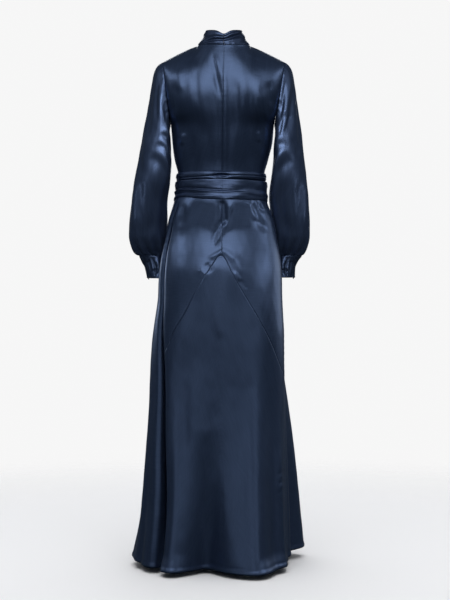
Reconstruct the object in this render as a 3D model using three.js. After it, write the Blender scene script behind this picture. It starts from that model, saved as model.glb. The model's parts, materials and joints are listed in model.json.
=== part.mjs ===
// Maxi dress in navy satin, in its hollow worn form. Millimetres, +Z up.
// Origin: middle of the neck base, at the height of the shoulder points. +X is the wearer's left,
// +Y the back.
// Angles round the body are turns in degrees: 0 at centre back, 90 at the left side, 180 at centre front.
import * as THREE from 'three';

const clothWall = 2;          // thickness of every wall
const seamGap = 0.3;          // space between two pieces at a seam
const sideSeamEase = 0.03;    // a little more on each side of the skirt's upright seams
const sleeveGap = 0.6;        // space between the armhole and the sleeve head, whose walls lean together

const neck = {
  midX: -5.6, midY: -6, halfWidth: 77, reachBack: 68, reachFront: 69,
  backZ: -8, frontZ: -52,     // height of the seam at centre back and centre front
};
const collarBand = {
  height: 43, topHalfWidth: 53.5, topReachBack: 55, topReachFront: 52,
  notchDepth: 10, notchHalfTurn: 16, foldHeight: 2.6,
  foldSlant: 0.0035,          // share of the height that the folds drop in one degree round the neck
  inwardCurve: 0.35,          // share of the lean that follows a sine, so the band rises before it leans
  openingAngle: 0.5, baseEase: 0.1,
};
// The two soft folds that cross the collar, by the share of its height that they stand at.
const collarFolds = [
  { share: 0.55, strength: 1, halfShare: 0.16 },
  { share: 0.15, strength: 0.8, halfShare: 0.13 },
];
const shoulder = { slopeLeft: 1.2, slopeRight: 1.15, neckShare: 0.4 };
const armhole = { topHalf: 179.6, lowHalf: 152, topZ: -49, lowZ: -236, reach: 58, blade: 97, chest: 92 };
const armholeLean = { top: -5.6, low: -1.5 };
const waistZ = -424;
const backFlatness = 0.85;          // power of the cosine that flattens the back of each level section
const blade = { roundness: 0.6, rise: 0.8 };   // powers that spread the bulge of the back across and up
const chestRoundness = 0.9;         // the same across the front
const sideFall = 1.5;               // power of the share across the bodice that rounds its rows downwards
const bust = { turn: 40, z: -252, rise: 10, spreadTurn: 17, spreadZ: 48 };

// Level sections below the arms: half-width to the left and right, reach to the back and front.
const bodySections = [
  { z: -236, left: 150.5, right: 153.5, back: 97, front: 104 },
  { z: -292, left: 146, right: 148.5, back: 93, front: 103 },
  { z: -328, left: 141.5, right: 139, back: 89, front: 96 },
  { z: -350, left: 137, right: 133.5, back: 86, front: 90 },
  { z: -378, left: 129, right: 124.5, back: 85, front: 86 },
  { z: -424, left: 130, right: 125, back: 89, front: 85 },
  { z: -462, left: 141.5, right: 133, back: 103, front: 92 },
  { z: -511, left: 158.5, right: 152, back: 103.5, front: 105 },
  { z: -552, left: 166, right: 159.5, back: 107, front: 112 },
  { z: -623, left: 180.5, right: 170, back: 121, front: 121 },
  { z: -670, left: 186.5, right: 174, back: 129.5, front: 126 },
  { z: -750, left: 190.5, right: 175.5, back: 133, front: 134 },
  { z: -838, left: 203, right: 180.5, back: 131, front: 144 },
  { z: -918, left: 209, right: 182, back: 129, front: 153 },
  { z: -1057, left: 213.5, right: 183.5, back: 130, front: 170 },
  { z: -1194, left: 223.5, right: 185, back: 135, front: 190 },
  { z: -1370, left: 238, right: 187, back: 143, front: 214 },
  { z: -1522, left: 259, right: 190, back: 150, front: 232 },
];

// Folds that open towards the hem. Depth is outwards at the hem, top is where the fold begins,
// and growth is the power of the share of the way down that it grows with.
const hemFolds = [
  { turn: 33, depth: 26, halfTurn: 8, top: -1150, growth: 1.25 },
  { turn: 11, depth: -48, halfTurn: 10, top: -1120, growth: 1.25 },
  { turn: -26, depth: 53, halfTurn: 18, top: -1000, growth: 1.25 },
  { turn: -62, depth: 16, halfTurn: 10, top: -1000, growth: 1.25 },
  { turn: -97, depth: 7, halfTurn: 4.5, top: -1100, growth: 1.25 },
  { turn: -106, depth: -26, halfTurn: 5, top: -1000, growth: 1 },
  { turn: -121, depth: 98, halfTurn: 16, top: -940, growth: 0.52 },
  { turn: -157, depth: -30, halfTurn: 9, top: -950, growth: 1.25 },
  { turn: -176, depth: 26, halfTurn: 11, top: -900, growth: 1.25 },
  { turn: 161, depth: -28, halfTurn: 9, top: -980, growth: 1.25 },
  { turn: 142, depth: 30, halfTurn: 12, top: -860, growth: 1.25 },
  { turn: 120, depth: -24, halfTurn: 8, top: -1000, growth: 1.25 },
  { turn: 101, depth: 16, halfTurn: 9, top: -1150, growth: 1.25 },
  { turn: 72, depth: -12, halfTurn: 8, top: -1200, growth: 1.25 },
];
const hem = { backZ: -1522, frontLift: 32, liftPower: 1.6 };

// The deep groove that the left side seam lies in, from below the sash to the hem.
const groove = [
  { z: -424, turn: 62, depth: 0 },
  { z: -470, turn: 63, depth: 0 },
  { z: -552, turn: 69, depth: 9 },
  { z: -670, turn: 66.5, depth: 14 },
  { z: -750, turn: 64, depth: 15 },
  { z: -918, turn: 56, depth: 17 },
  { z: -1131, turn: 53, depth: 19 },
  { z: -1314, turn: 48, depth: 22 },
  { z: -1522, turn: 45, depth: 24 },
];
const grooveHalfTurn = 4.2;
const rightSeam = { topTurn: -89, hemTurn: -83 };

// The inverted-V seam between the yoke and the lower back panel.
const yokeSeam = [
  { turn: -89, z: -985 },
  { turn: -66.5, z: -944 },
  { turn: -49, z: -872 },
  { turn: -28.5, z: -772 },
  { turn: -12, z: -690 },
  { turn: 0, z: -622 },
  { turn: 12, z: -668 },
  { turn: 23, z: -729 },
  { turn: 32, z: -789 },
  { turn: 40, z: -832 },
  { turn: 48, z: -884 },
  { turn: 57, z: -925 },
];

// Sleeve rings from the armhole to the cuff: outer and inner edge seen from the back, depth, and gathers.
const sleeveRings = {
  left: [
    { outX: 174, outZ: -49, inX: 150.5, inZ: -236, midY: 0, reach: 58, gather: 0 },
    { outX: 191, outZ: -61, inX: 152.5, inZ: -241, midY: 0, reach: 60, gather: 0 },
    { outX: 203.5, outZ: -85, inX: 153.2, inZ: -247.5, midY: -1, reach: 61, gather: 0 },
    { outX: 211.5, outZ: -128, inX: 153.4, inZ: -256, midY: -2, reach: 60.5, gather: 0 },
    { outX: 221, outZ: -187, inX: 152.8, inZ: -269, midY: -3, reach: 59, gather: 0 },
    { outX: 232, outZ: -246, inX: 150.8, inZ: -289, midY: -3, reach: 58, gather: 0 },
    { outX: 242.5, outZ: -299, inX: 149.5, inZ: -316, midY: -3, reach: 57, gather: 0 },
    { outX: 251, outZ: -350, inX: 148.2, inZ: -352, midY: -5, reach: 56, gather: 0 },
    { outX: 262, outZ: -402, inX: 152.5, inZ: -402, midY: -13, reach: 56, gather: 0 },
    { outX: 269, outZ: -452, inX: 161, inZ: -450, midY: -27, reach: 57, gather: 0 },
    { outX: 276, outZ: -503, inX: 163, inZ: -500, midY: -44, reach: 58.5, gather: 0.2 },
    { outX: 279, outZ: -538, inX: 163.5, inZ: -536, midY: -57, reach: 59, gather: 0.5 },
    { outX: 279, outZ: -566, inX: 163, inZ: -565, midY: -67, reach: 57.5, gather: 0.9 },
    { outX: 271, outZ: -591, inX: 163, inZ: -591, midY: -76, reach: 52, gather: 1.3 },
    { outX: 262.5, outZ: -606, inX: 163.5, inZ: -606, midY: -81, reach: 44, gather: 0.6 },
    { outX: 248, outZ: -616.6, inX: 164.3, inZ: -616.6, midY: -84, reach: 37, gather: 0.6 },
  ],
  right: [
    { outX: -185.2, outZ: -49, inX: -153.5, inZ: -236, midY: 0, reach: 58, gather: 0 },
    { outX: -199, outZ: -60, inX: -155.5, inZ: -241, midY: 0, reach: 60, gather: 0 },
    { outX: -211, outZ: -82, inX: -156.2, inZ: -247.5, midY: -1, reach: 61, gather: 0 },
    { outX: -219, outZ: -128, inX: -156.4, inZ: -256, midY: -2, reach: 60.5, gather: 0 },
    { outX: -227.5, outZ: -187, inX: -155.8, inZ: -269, midY: -3, reach: 59, gather: 0 },
    { outX: -235, outZ: -246, inX: -153.5, inZ: -289, midY: -3, reach: 58, gather: 0 },
    { outX: -241, outZ: -299, inX: -151.5, inZ: -316, midY: -3, reach: 57, gather: 0 },
    { outX: -247, outZ: -350, inX: -149.5, inZ: -350, midY: -5, reach: 56, gather: 0 },
    { outX: -254, outZ: -402, inX: -143.5, inZ: -399, midY: -13, reach: 56, gather: 0 },
    { outX: -259, outZ: -452, inX: -139.5, inZ: -447, midY: -27, reach: 57, gather: 0 },
    { outX: -263, outZ: -503, inX: -146, inZ: -499, midY: -44, reach: 58.5, gather: 0.2 },
    { outX: -264, outZ: -538, inX: -149, inZ: -535, midY: -57, reach: 59, gather: 0.5 },
    { outX: -263, outZ: -566, inX: -150, inZ: -564, midY: -67, reach: 57.5, gather: 0.9 },
    { outX: -255, outZ: -591, inX: -151, inZ: -591, midY: -76, reach: 52, gather: 1.3 },
    { outX: -247.5, outZ: -606, inX: -153, inZ: -606, midY: -81, reach: 44, gather: 0.6 },
    { outX: -239, outZ: -616.6, inX: -156, inZ: -616.6, midY: -84, reach: 37, gather: 0.6 },
  ],
};
const gathersPerSleeve = 9;
// Shear of each sleeve's back line inwards. The left arm hangs straighter, so its sleeve leans less.
const sleeveLean = { left: 0.28, right: 0.38, topRings: 4, lastRings: [6.5, 11] };

// Creases of the sleeves, each along a slanted line between two ring places. Angle 0 is back, 90 outer.
const sleeveCreases = {
  left: [
    { fromRing: 6.2, fromAngle: 200, toRing: 7.4, toAngle: 130, depth: -4, halfWidth: 0.252 },
  ],
  right: [
    { fromRing: 1.2, fromAngle: 30, toRing: 4.6, toAngle: -38, depth: -4.5, halfWidth: 0.27 },
    { fromRing: 1.6, fromAngle: 62, toRing: 5.2, toAngle: 10, depth: -4, halfWidth: 0.27 },
    { fromRing: 6.2, fromAngle: 200, toRing: 7.4, toAngle: 130, depth: -4, halfWidth: 0.252 },
  ],
};

// Shares of its length over which a crease comes in and dies away.
const creaseEnds = { comesIn: [-0.2, 0.25], diesAway: [0.75, 1.2] };

// Cuff rings, top to bottom, as for the sleeve. The band runs a little past a full turn on its outer side.
const cuffRings = {
  left: [
    { z: -617, outX: 248, inX: 164.3, midY: -84, reach: 37 },
    { z: -634, outX: 240, inX: 163, midY: -86.5, reach: 34 },
    { z: -651, outX: 231, inX: 163, midY: -88.5, reach: 32 },
    { z: -684, outX: 223, inX: 165.5, midY: -92, reach: 31 },
  ],
  right: [
    { z: -617, outX: -239, inX: -156, midY: -84, reach: 37 },
    { z: -634, outX: -226, inX: -156, midY: -86.5, reach: 34 },
    { z: -651, outX: -219, inX: -156.5, midY: -88.5, reach: 32 },
    { z: -682, outX: -217, inX: -157, midY: -92, reach: 31 },
  ],
};
const cuffLap = { angle: 26, rise: 3.2, startAngle: 96, spread: 0.12 };   // spread: more rise, ring by ring

const sash = {
  bottomZ: -461, topZ: -401, stand: 3.3, creaseDepth: 2.2,
  wrapBottomZ: -400.4, wrapTopZ: -378, wrapStand: 3.6, wrapRoll: 5, wrapSway: 0.2, wrapWaves: 3,
};
// The band's soft creases: share of its height, how far that sways round the waist, and the sway's start.
const bandFolds = [
  { share: 0.2, sway: 0.08, start: 0, strength: 1, halfShare: 0.16 },
  { share: 0.72, sway: 0.1, start: 1, strength: 0.8, halfShare: 0.17 },
];
const knot = {
  turn: 113, z: -436, halfTurn: 9.5, halfHeight: 23, thickness: 10, lift: 0.45, squareness: 4,
  creaseDepth: 0.3, creaseSlant: 0.5, creaseHalfWidth: 0.22,      // as shares of the knot's own size
};
const tails = {
  long: { startTurn: 110, endTurn: 136, bottomZ: -905 },
  short: { startTurn: 119.5, endTurn: 161, bottomZ: -815 },
};
const tailShape = {
  topZ: -461.35, halfWidth: 23, topNarrowing: 0.45, endSlant: 10, stand: 3.4, flute: 4.5,
  wideFrom: 0.4, fluteFrom: 0.15, fluteLoss: 0.4,                 // as shares of the tail's length
};

const grid = {
  neckColumns: 6, shoulderColumns: 5, bodiceUpperRows: 9,
  yokeRows: 6, panelRows: 8, backLeftColumns: 13, backRightColumns: 15, frontColumns: 36,
  sleeveColumns: 36, cuffColumns: 28, cuffRows: 3,
  collarRows: 5, sashColumns: 40, sashRows: 4, wrapRows: 3, knotColumns: 8, knotRows: 8,
  tailColumns: 6, tailRows: 10,
};
const bodiceLevels = [-236, -280, -318, -345, -370, -397, -424];   // rows from the underarm to the waist
const bodiceInset = { centre: 0.0009, side: 0.9988, end: 0.0011 };   // shares that leave the seam gaps
const placePasses = 8;                       // turns and heights settle against each other in these
const underSash = { level: 0.2, z: -466 };   // skirt row that stays just under the band's lower edge
const centreShare = 0.41;                    // share of the back columns that lies left of the centre seam
const backLeftEasing = 1.35;                 // power that brings the back columns closer near the left seam
const frontEasing = 0.06;                    // how much closer the front columns stand near the side seams

const nearEdge = 0.01;                       // share within which a bodice point counts as on its edge

const navy = 0x2c3a58;
const deepNavy = 0x222e49;
const radians = Math.PI / 180;
const { lerp, clamp, smoothstep } = THREE.MathUtils;

// Smooth value of a table's column at a place along its key column: a cubic through the rows.
function tableValue(table, key, column, place) {
  const rising = table[table.length - 1][key] > table[0][key] ? 1 : -1;
  const last = table.length - 1;
  let row = 0;
  while (row < last - 1 && (place - table[row + 1][key]) * rising > 0) row += 1;
  const slope = (from, to) => (
    (table[to][column] - table[from][column]) / (table[to][key] - table[from][key]));
  const start = slope(Math.max(row - 1, 0), row + 1);
  const end = slope(row, Math.min(row + 2, last));
  const span = table[row + 1][key] - table[row][key];
  const t = clamp((place - table[row][key]) / span, 0, 1);
  const blend = t * t * (3 - 2 * t);
  return table[row][column] * (1 - blend) + table[row + 1][column] * blend
    + span * (start * t * (1 - t) * (1 - t) - end * t * t * (1 - t));
}

// Bell of height 1 at zero, about a third at one half-width.
const bell = (distance, halfWidth) => Math.exp(-((distance / halfWidth) ** 2));

// Difference of two turns, from -180 to 180 degrees.
const turnApart = (a, b) => ((((a - b + 180) % 360) + 360) % 360) - 180;

// Direction square to a surface at (u, v), from two short steps that stay inside its limits.
function surfaceNormal(surface, u, v, limits) {
  const stepU = 1e-3 * (limits.u1 - limits.u0);
  const stepV = 1e-3 * (limits.v1 - limits.v0);
  const within = (value, low, high) => clamp(value, Math.min(low, high), Math.max(low, high));
  const alongU = surface(within(u + stepU, limits.u0, limits.u1), v)
    .sub(surface(within(u - stepU, limits.u0, limits.u1), v));
  const alongV = surface(u, within(v + stepV, limits.v0, limits.v1))
    .sub(surface(u, within(v - stepV, limits.v0, limits.v1)));
  return alongU.cross(alongV).normalize();
}

// A closed wall: a grid of outer points, the same grid moved in by the thickness, and rims between them.
function wallGeometry(columns, rows, pointAt, normalAt, { closed = false, thickness = clothWall } = {}) {
  const across = closed ? columns : columns + 1;
  const positions = [];
  for (const depth of [0, thickness]) {
    for (let row = 0; row <= rows; row += 1) {
      for (let column = 0; column < across; column += 1) {
        const point = pointAt(column, row).addScaledVector(normalAt(column, row), -depth);
        positions.push(point.x, point.y, point.z);
      }
    }
  }
  const layer = across * (rows + 1);
  const index = (column, row, side) => side * layer + row * across + (column % across);
  const triangles = [];
  const quad = (a, b, c, d) => triangles.push(a, b, c, a, c, d);
  for (let row = 0; row < rows; row += 1) {
    for (let column = 0; column < columns; column += 1) {
      const next = column + 1;
      const below = row + 1;
      quad(index(column, row, 0), index(next, row, 0), index(next, below, 0), index(column, below, 0));
      quad(index(column, row, 1), index(column, below, 1), index(next, below, 1), index(next, row, 1));
    }
  }
  for (let column = 0; column < columns; column += 1) {
    const next = column + 1;
    quad(index(column, 0, 0), index(column, 0, 1), index(next, 0, 1), index(next, 0, 0));
    quad(index(column, rows, 0), index(next, rows, 0), index(next, rows, 1), index(column, rows, 1));
  }
  for (let row = 0; row < rows && !closed; row += 1) {
    quad(index(0, row, 0), index(0, row + 1, 0), index(0, row + 1, 1), index(0, row, 1));
    quad(index(columns, row, 0), index(columns, row, 1), index(columns, row + 1, 1),
      index(columns, row + 1, 0));
  }
  return closedGeometry(positions, triangles);
}

// Geometry with its faces pointing out, whichever way round its grid was made.
function closedGeometry(positions, triangles) {
  let volume = 0;
  const corner = (i) => new THREE.Vector3(positions[3 * i], positions[3 * i + 1], positions[3 * i + 2]);
  for (let i = 0; i < triangles.length; i += 3) {
    volume += corner(triangles[i]).dot(corner(triangles[i + 1]).cross(corner(triangles[i + 2])));
  }
  if (volume < 0) triangles.reverse();
  const geometry = new THREE.BufferGeometry();
  geometry.setAttribute('position', new THREE.Float32BufferAttribute(positions, 3));
  geometry.setIndex(triangles);
  geometry.computeVertexNormals();
  return geometry;
}

const dress = new THREE.Group();

function addPiece(name, geometry, color = navy) {
  const material = new THREE.MeshStandardMaterial({ color, roughness: 0.38, metalness: 0 });
  const mesh = new THREE.Mesh(geometry, material);
  mesh.name = name;
  dress.add(mesh);
}

// Hem height at a turn: level at the back, lifted towards the front.
function hemHeight(turn) {
  const towardsFront = (1 - Math.cos(turn * radians)) / 2;
  return hem.backZ + hem.frontLift * towardsFront ** hem.liftPower;
}

// Outward move that the folds and the groove give at a turn and height.
function foldRise(turn, z) {
  let rise = 0;
  for (const fold of hemFolds) {
    const grown = clamp((fold.top - z) / (fold.top - hem.backZ), 0, 1) ** fold.growth;
    rise += fold.depth * grown * bell(turnApart(turn, fold.turn), fold.halfTurn);
  }
  const grooveTurn = tableValue(groove, 'z', 'turn', z);
  rise -= tableValue(groove, 'z', 'depth', z) * bell(turnApart(turn, grooveTurn), grooveHalfTurn);
  return rise;
}

// Point of the dress at a turn and height: an ellipse of four quarters, moved out by folds and bust.
function bodyPoint(turn, z) {
  const sine = Math.sin(turn * radians);
  const cosine = Math.cos(turn * radians);
  const level = clamp(z, hem.backZ, bodySections[0].z);
  const wide = tableValue(bodySections, 'z', sine > 0 ? 'left' : 'right', level);
  const deep = tableValue(bodySections, 'z', cosine > 0 ? 'back' : 'front', level);
  const fromFront = Math.abs(turnApart(turn, 180));
  const bustShare = bell(fromFront - bust.turn, bust.spreadTurn) * bell(z - bust.z, bust.spreadZ);
  const rise = foldRise(turn, level) + bust.rise * bustShare;
  const outward = new THREE.Vector3(sine * deep, cosine * wide, 0).normalize();
  const flattened = cosine > 0 ? cosine ** backFlatness : cosine;
  return new THREE.Vector3(wide * sine, deep * flattened, z).addScaledVector(outward, rise);
}

// Outward direction of the body surface at a turn and height.
function bodyNormal(turn, z) {
  const limits = { u0: turn - 200, u1: turn + 200, v0: z - 400, v1: z + 400 };
  const normal = surfaceNormal(bodyPoint, turn, z, limits);
  const outward = new THREE.Vector3(Math.sin(turn * radians), Math.cos(turn * radians), 0);
  return normal.dot(outward) < 0 ? normal.negate() : normal;
}

// Neck seam at an angle from centre back (0) by the side (90) to centre front (180), left or right.
function neckPoint(angle, side) {
  const sine = Math.sin(angle * radians);
  const cosine = Math.cos(angle * radians);
  const reach = cosine > 0 ? neck.reachBack : neck.reachFront;
  const lowest = cosine > 0 ? neck.backZ : neck.frontZ;
  return new THREE.Vector3(
    neck.midX + side * neck.halfWidth * sine, neck.midY + reach * cosine, lowest * cosine * cosine);
}

// Top edge of the bodice at a share from centre (0) to the armhole (1): neck seam, then shoulder seam.
function topEdge(share, side, isBack) {
  if (share < shoulder.neckShare) {
    const angle = (90 * share) / shoulder.neckShare;
    return neckPoint(isBack ? angle : 180 - angle, side);
  }
  const along = (share - shoulder.neckShare) / (1 - shoulder.neckShare);
  const slope = side > 0 ? shoulder.slopeLeft : shoulder.slopeRight;
  return new THREE.Vector3(
    neck.midX + side * lerp(neck.halfWidth, armhole.topHalf, along),
    neck.midY * (1 - along), armhole.topZ * along ** slope);
}

// Bodice surface. u runs from the right edge (-1) by the centre to the left edge (1).
// v runs from the top edge (0) to the underarm (1) and the waist (2).
function bodicePoint(u, v, isBack) {
  const side = u < 0 ? -1 : 1;
  const share = Math.abs(u);
  const backTurn = 90 * u;
  if (v > 1) return bodyPoint(isBack ? backTurn : 180 - backTurn, lerp(armhole.lowZ, waistZ, v - 1));
  const angle = share * Math.PI / 2;
  const top = topEdge(share, side, isBack);
  const low = bodyPoint(isBack ? backTurn : 180 - backTurn, armhole.lowZ);
  const round = (1 - Math.cos(Math.PI * v)) / 2;
  const half = lerp(armhole.topHalf, armhole.lowHalf, round);
  const lean = lerp(armholeLean.top, armholeLean.low, round);
  const topShare = Math.abs(top.x - neck.midX) / armhole.topHalf;
  const x = lean + side * half * lerp(topShare, Math.sin(angle), Math.sin(v * Math.PI / 2));
  const reach = isBack ? armhole.blade : armhole.chest;
  const roundness = isBack ? blade.roundness : chestRoundness;
  const middle = armhole.reach + (reach - armhole.reach) * Math.cos(angle) ** roundness;
  const facing = isBack ? 1 : -1;
  const bulge = Math.sin(Math.PI * v) ** (isBack ? lerp(blade.rise, 1, share ** 2) : 1);
  const y = lerp(top.y, low.y, v) + (facing * middle - (top.y + low.y) / 2) * bulge;
  const z = lerp(top.z, low.z, lerp(v, round, share ** sideFall));
  return new THREE.Vector3(x, y, z);
}

// Direction square to the bodice, kept level with its seams so that two pieces meet edge to edge.
function bodiceNormal(u, v, isBack) {
  const surface = (a, b) => bodicePoint(a, b, isBack);
  const normal = surfaceNormal(surface, u, v, { u0: -1, u1: 1, v0: 0.002, v1: 2 });
  if (normal.y * (isBack ? 1 : -1) < 0) normal.negate();
  if (v < nearEdge && Math.abs(u) >= shoulder.neckShare) normal.y = 0;
  if (Math.abs(u) < nearEdge) normal.x = 0;
  if (Math.abs(u) > 1 - nearEdge && v > 1) normal.set(Math.sign(u), 0, normal.z);
  return normal.normalize();
}

// One bodice piece: its columns are shares across it, its rows run from the top edge to the waist.
function addBodicePanel(name, isBack, shares) {
  const upper = Array.from({ length: grid.bodiceUpperRows }, (_, i) => i / grid.bodiceUpperRows);
  const lower = bodiceLevels.map((z) => 1 + (armhole.lowZ - z) / (armhole.lowZ - waistZ));
  const levels = [...upper, ...lower].map((level) => clamp(level, bodiceInset.end, 2 - bodiceInset.end));
  addPiece(name, wallGeometry(shares.length - 1, levels.length - 1,
    (column, row) => bodicePoint(shares[column], levels[row], isBack),
    (column, row) => bodiceNormal(shares[column], levels[row], isBack)));
}

function addBodice() {
  const neckStep = shoulder.neckShare / grid.neckColumns;
  const shoulderStep = (1 - shoulder.neckShare) / grid.shoulderColumns;
  const neckShares = Array.from({ length: grid.neckColumns }, (_, i) => i * neckStep);
  const shoulderShares = Array.from(
    { length: grid.shoulderColumns + 1 }, (_, i) => shoulder.neckShare + i * shoulderStep);
  const half = [...neckShares, ...shoulderShares]
    .map((share) => clamp(share, bodiceInset.centre, bodiceInset.side));
  const mirrored = half.map((share) => -share);
  addBodicePanel('bodice_back_left', true, half);
  addBodicePanel('bodice_back_right', true, mirrored);
  addBodicePanel('bodice_front', false, [...mirrored.slice(1).reverse(), 0, ...half.slice(1)]);
}

const leftSeamTurn = (z) => tableValue(groove, 'z', 'turn', clamp(z, hem.backZ, waistZ));
const rightSeamTurn = (z) => lerp(
  rightSeam.topTurn, rightSeam.hemTurn, (waistZ - z) / (waistZ - hem.backZ));
const backStartTurn = yokeSeam[yokeSeam.length - 1].turn;      // where the split line meets the left seam
const frontEndTurn = 360 + yokeSeam[0].turn;                   // and the right seam, going round the front

// Height that parts the yoke rows from the lower rows: the V seam at the back, a level line at the front.
function splitHeight(turn, isBack) {
  if (isBack) return tableValue(yokeSeam, 'turn', 'z', clamp(turn, yokeSeam[0].turn, backStartTurn));
  const share = clamp((turn - backStartTurn) / (frontEndTurn - backStartTurn), 0, 1);
  return lerp(yokeSeam[yokeSeam.length - 1].z, yokeSeam[0].z, share);
}

// Height and turn of a grid place on the skirt. Row level 0 is the waist, 1 the split and 2 the hem.
// At the back, the centre seam stays at turn 0.
function skirtPlace(share, level, isBack) {
  let turn = isBack ? backStartTurn * (1 - share / centreShare) : lerp(backStartTurn, frontEndTurn, share);
  let z = waistZ;
  for (let pass = 0; pass < placePasses; pass += 1) {
    const split = splitHeight(turn, isBack);
    if (level < underSash.level) z = lerp(waistZ, underSash.z, level / underSash.level);
    else if (level < 1) z = lerp(underSash.z, split, (level - underSash.level) / (1 - underSash.level));
    else z = lerp(split, hemHeight(turn), level - 1);
    if (!isBack) turn = lerp(leftSeamTurn(z), rightSeamTurn(z) + 360, share);
    else if (share < centreShare) turn = leftSeamTurn(z) * (1 - share / centreShare);
    else turn = (rightSeamTurn(z) * (share - centreShare)) / (1 - centreShare);
  }
  return { turn, z };
}

// One skirt piece. Shares run round it from the left side seam, levels run down it, and its sewn edges
// stand half a seam gap back: both sides, the top, and the bottom unless that is the hem.
function addSkirtPiece(name, isBack, shares, levels, endsInHem) {
  const sideGap = seamGap / 2 + sideSeamEase;
  const gapTurn = (place) => sideGap / (radians * bodyPoint(place.turn, place.z).setZ(0).length());
  const placeAt = (column, row) => {
    const place = skirtPlace(shares[column], levels[row], isBack);
    const direction = isBack ? -1 : 1;
    if (column === 0) place.turn += direction * gapTurn(place);
    if (column === shares.length - 1) place.turn -= direction * gapTurn(place);
    if (row === 0) place.z -= seamGap / 2;
    if (row === levels.length - 1 && !endsInHem) place.z += seamGap / 2;
    return [place.turn, place.z];
  };
  addPiece(name, wallGeometry(shares.length - 1, levels.length - 1,
    (column, row) => bodyPoint(...placeAt(column, row)),
    (column, row) => bodyNormal(...placeAt(column, row))));
}

function addSkirt() {
  const evenShares = (count) => Array.from({ length: count + 1 }, (_, i) => i / count);
  const leftShares = evenShares(grid.backLeftColumns).map((share) => centreShare * share ** backLeftEasing);
  const rightShares = evenShares(grid.backRightColumns).map((share) => lerp(centreShare, 1, share));
  const backShares = [...leftShares, ...rightShares.slice(1)];
  const frontShares = evenShares(grid.frontColumns)
    .map((share) => share - frontEasing * Math.sin(2 * Math.PI * share));
  const belowSash = evenShares(grid.yokeRows - 2).map((share) => lerp(underSash.level, 1, share));
  const yokeLevels = [0, underSash.level / 2, ...belowSash];
  const panelLevels = evenShares(grid.panelRows).map((share) => 1 + share);
  addSkirtPiece('skirt_back_yoke_left', true, leftShares, yokeLevels, false);
  addSkirtPiece('skirt_back_yoke_right', true, rightShares, yokeLevels, false);
  addSkirtPiece('skirt_back_panel', true, backShares, panelLevels, true);
  addSkirtPiece('skirt_front', false, frontShares, [...yokeLevels, ...panelLevels.slice(1)], true);
}

// Depth of the creases at a ring place and angle: a bell across each slanted line, fading at its ends.
function creaseDepth(creases, ring, angle) {
  let depth = 0;
  for (const crease of creases) {
    const along = (ring - crease.fromRing) / (crease.toRing - crease.fromRing);
    const lineAngle = lerp(crease.fromAngle, crease.toAngle, along);
    const fade = smoothstep(along, ...creaseEnds.comesIn) * (1 - smoothstep(along, ...creaseEnds.diesAway));
    const apart = turnApart(angle, lineAngle) * radians;
    depth += crease.depth * fade * bell(apart, crease.halfWidth);
  }
  return depth;
}

// Sleeve surface at an angle (0 back, 90 outer edge) and ring place, moved by gathers and creases.
function sleevePoint(side, angle, ring) {
  const rings = sleeveRings[side].map((row, place) => ({ ...row, place }));
  const value = (column) => tableValue(rings, 'place', column, ring);
  const sine = Math.sin(angle * radians);
  const cosine = Math.cos(angle * radians);
  const outer = new THREE.Vector3(value('outX'), value('midY'), value('outZ'));
  const inner = new THREE.Vector3(value('inX'), value('midY'), value('inZ'));
  const middle = outer.clone().add(inner).multiplyScalar(0.5);
  const across = outer.sub(inner).multiplyScalar(0.5);
  const lean = sleeveLean[side] * smoothstep(ring, 0, sleeveLean.topRings)
    * (1 - smoothstep(ring, ...sleeveLean.lastRings));
  const back = new THREE.Vector3(0, cosine - lean * sine, 0);
  const radial = across.clone().normalize().multiplyScalar(sine).add(new THREE.Vector3(0, cosine, 0));
  const gather = value('gather') * Math.cos(gathersPerSleeve * angle * radians);
  return middle.addScaledVector(across, sine).addScaledVector(back, value('reach'))
    .addScaledVector(radial, gather + creaseDepth(sleeveCreases[side], ring, angle));
}

// Outward direction of a tube surface, level where the tube's edge meets the next piece.
function tubeNormal(surface, angle, ring, lastRing, outward, isLevel) {
  const normal = surfaceNormal(surface, angle, ring, { u0: -720, u1: 720, v0: 0, v1: lastRing });
  const radial = new THREE.Vector3(outward * Math.sin(angle * radians), Math.cos(angle * radians), 0);
  const middle = surface(angle, ring).add(surface(angle + 180, ring)).multiplyScalar(0.5);
  if (normal.dot(surface(angle, ring).sub(middle)) < 0) normal.negate();
  return isLevel ? radial : normal;
}

function addSleeve(side) {
  const outward = side === 'left' ? 1 : -1;
  const rows = sleeveRings[side].length - 1;
  const angleAt = (column) => (360 * column) / grid.sleeveColumns;
  const surface = (angle, ring) => sleevePoint(side, angle, ring);
  const headMove = new THREE.Vector3(outward * sleeveGap, 0, 0);
  addPiece(`sleeve_${side}`, wallGeometry(grid.sleeveColumns, rows,
    (column, row) => surface(angleAt(column), row).addScaledVector(headMove, row === 0 ? 1 : 0),
    (column, row) => tubeNormal(surface, angleAt(column), row, rows, outward, row === rows),
    { closed: true }));
}

// Cuff surface. The angle runs a little past a full turn, and the last stretch rises over the first.
function cuffPoint(side, angle, row) {
  const rings = cuffRings[side].map((ringRow, place) => ({ ...ringRow, place }));
  const value = (column) => tableValue(rings, 'place', column, row);
  const turned = angle - cuffLap.startAngle;
  const rise = cuffLap.rise * smoothstep(turned, 360 - cuffLap.angle, 360) * (1 + cuffLap.spread * row);
  const sine = Math.sin(angle * radians);
  const cosine = Math.cos(angle * radians);
  const half = (value('outX') - value('inX')) / 2;
  return new THREE.Vector3(
    (value('outX') + value('inX')) / 2 + (half + Math.sign(half) * rise) * sine,
    value('midY') + (value('reach') + rise) * cosine, value('z'));
}

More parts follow.
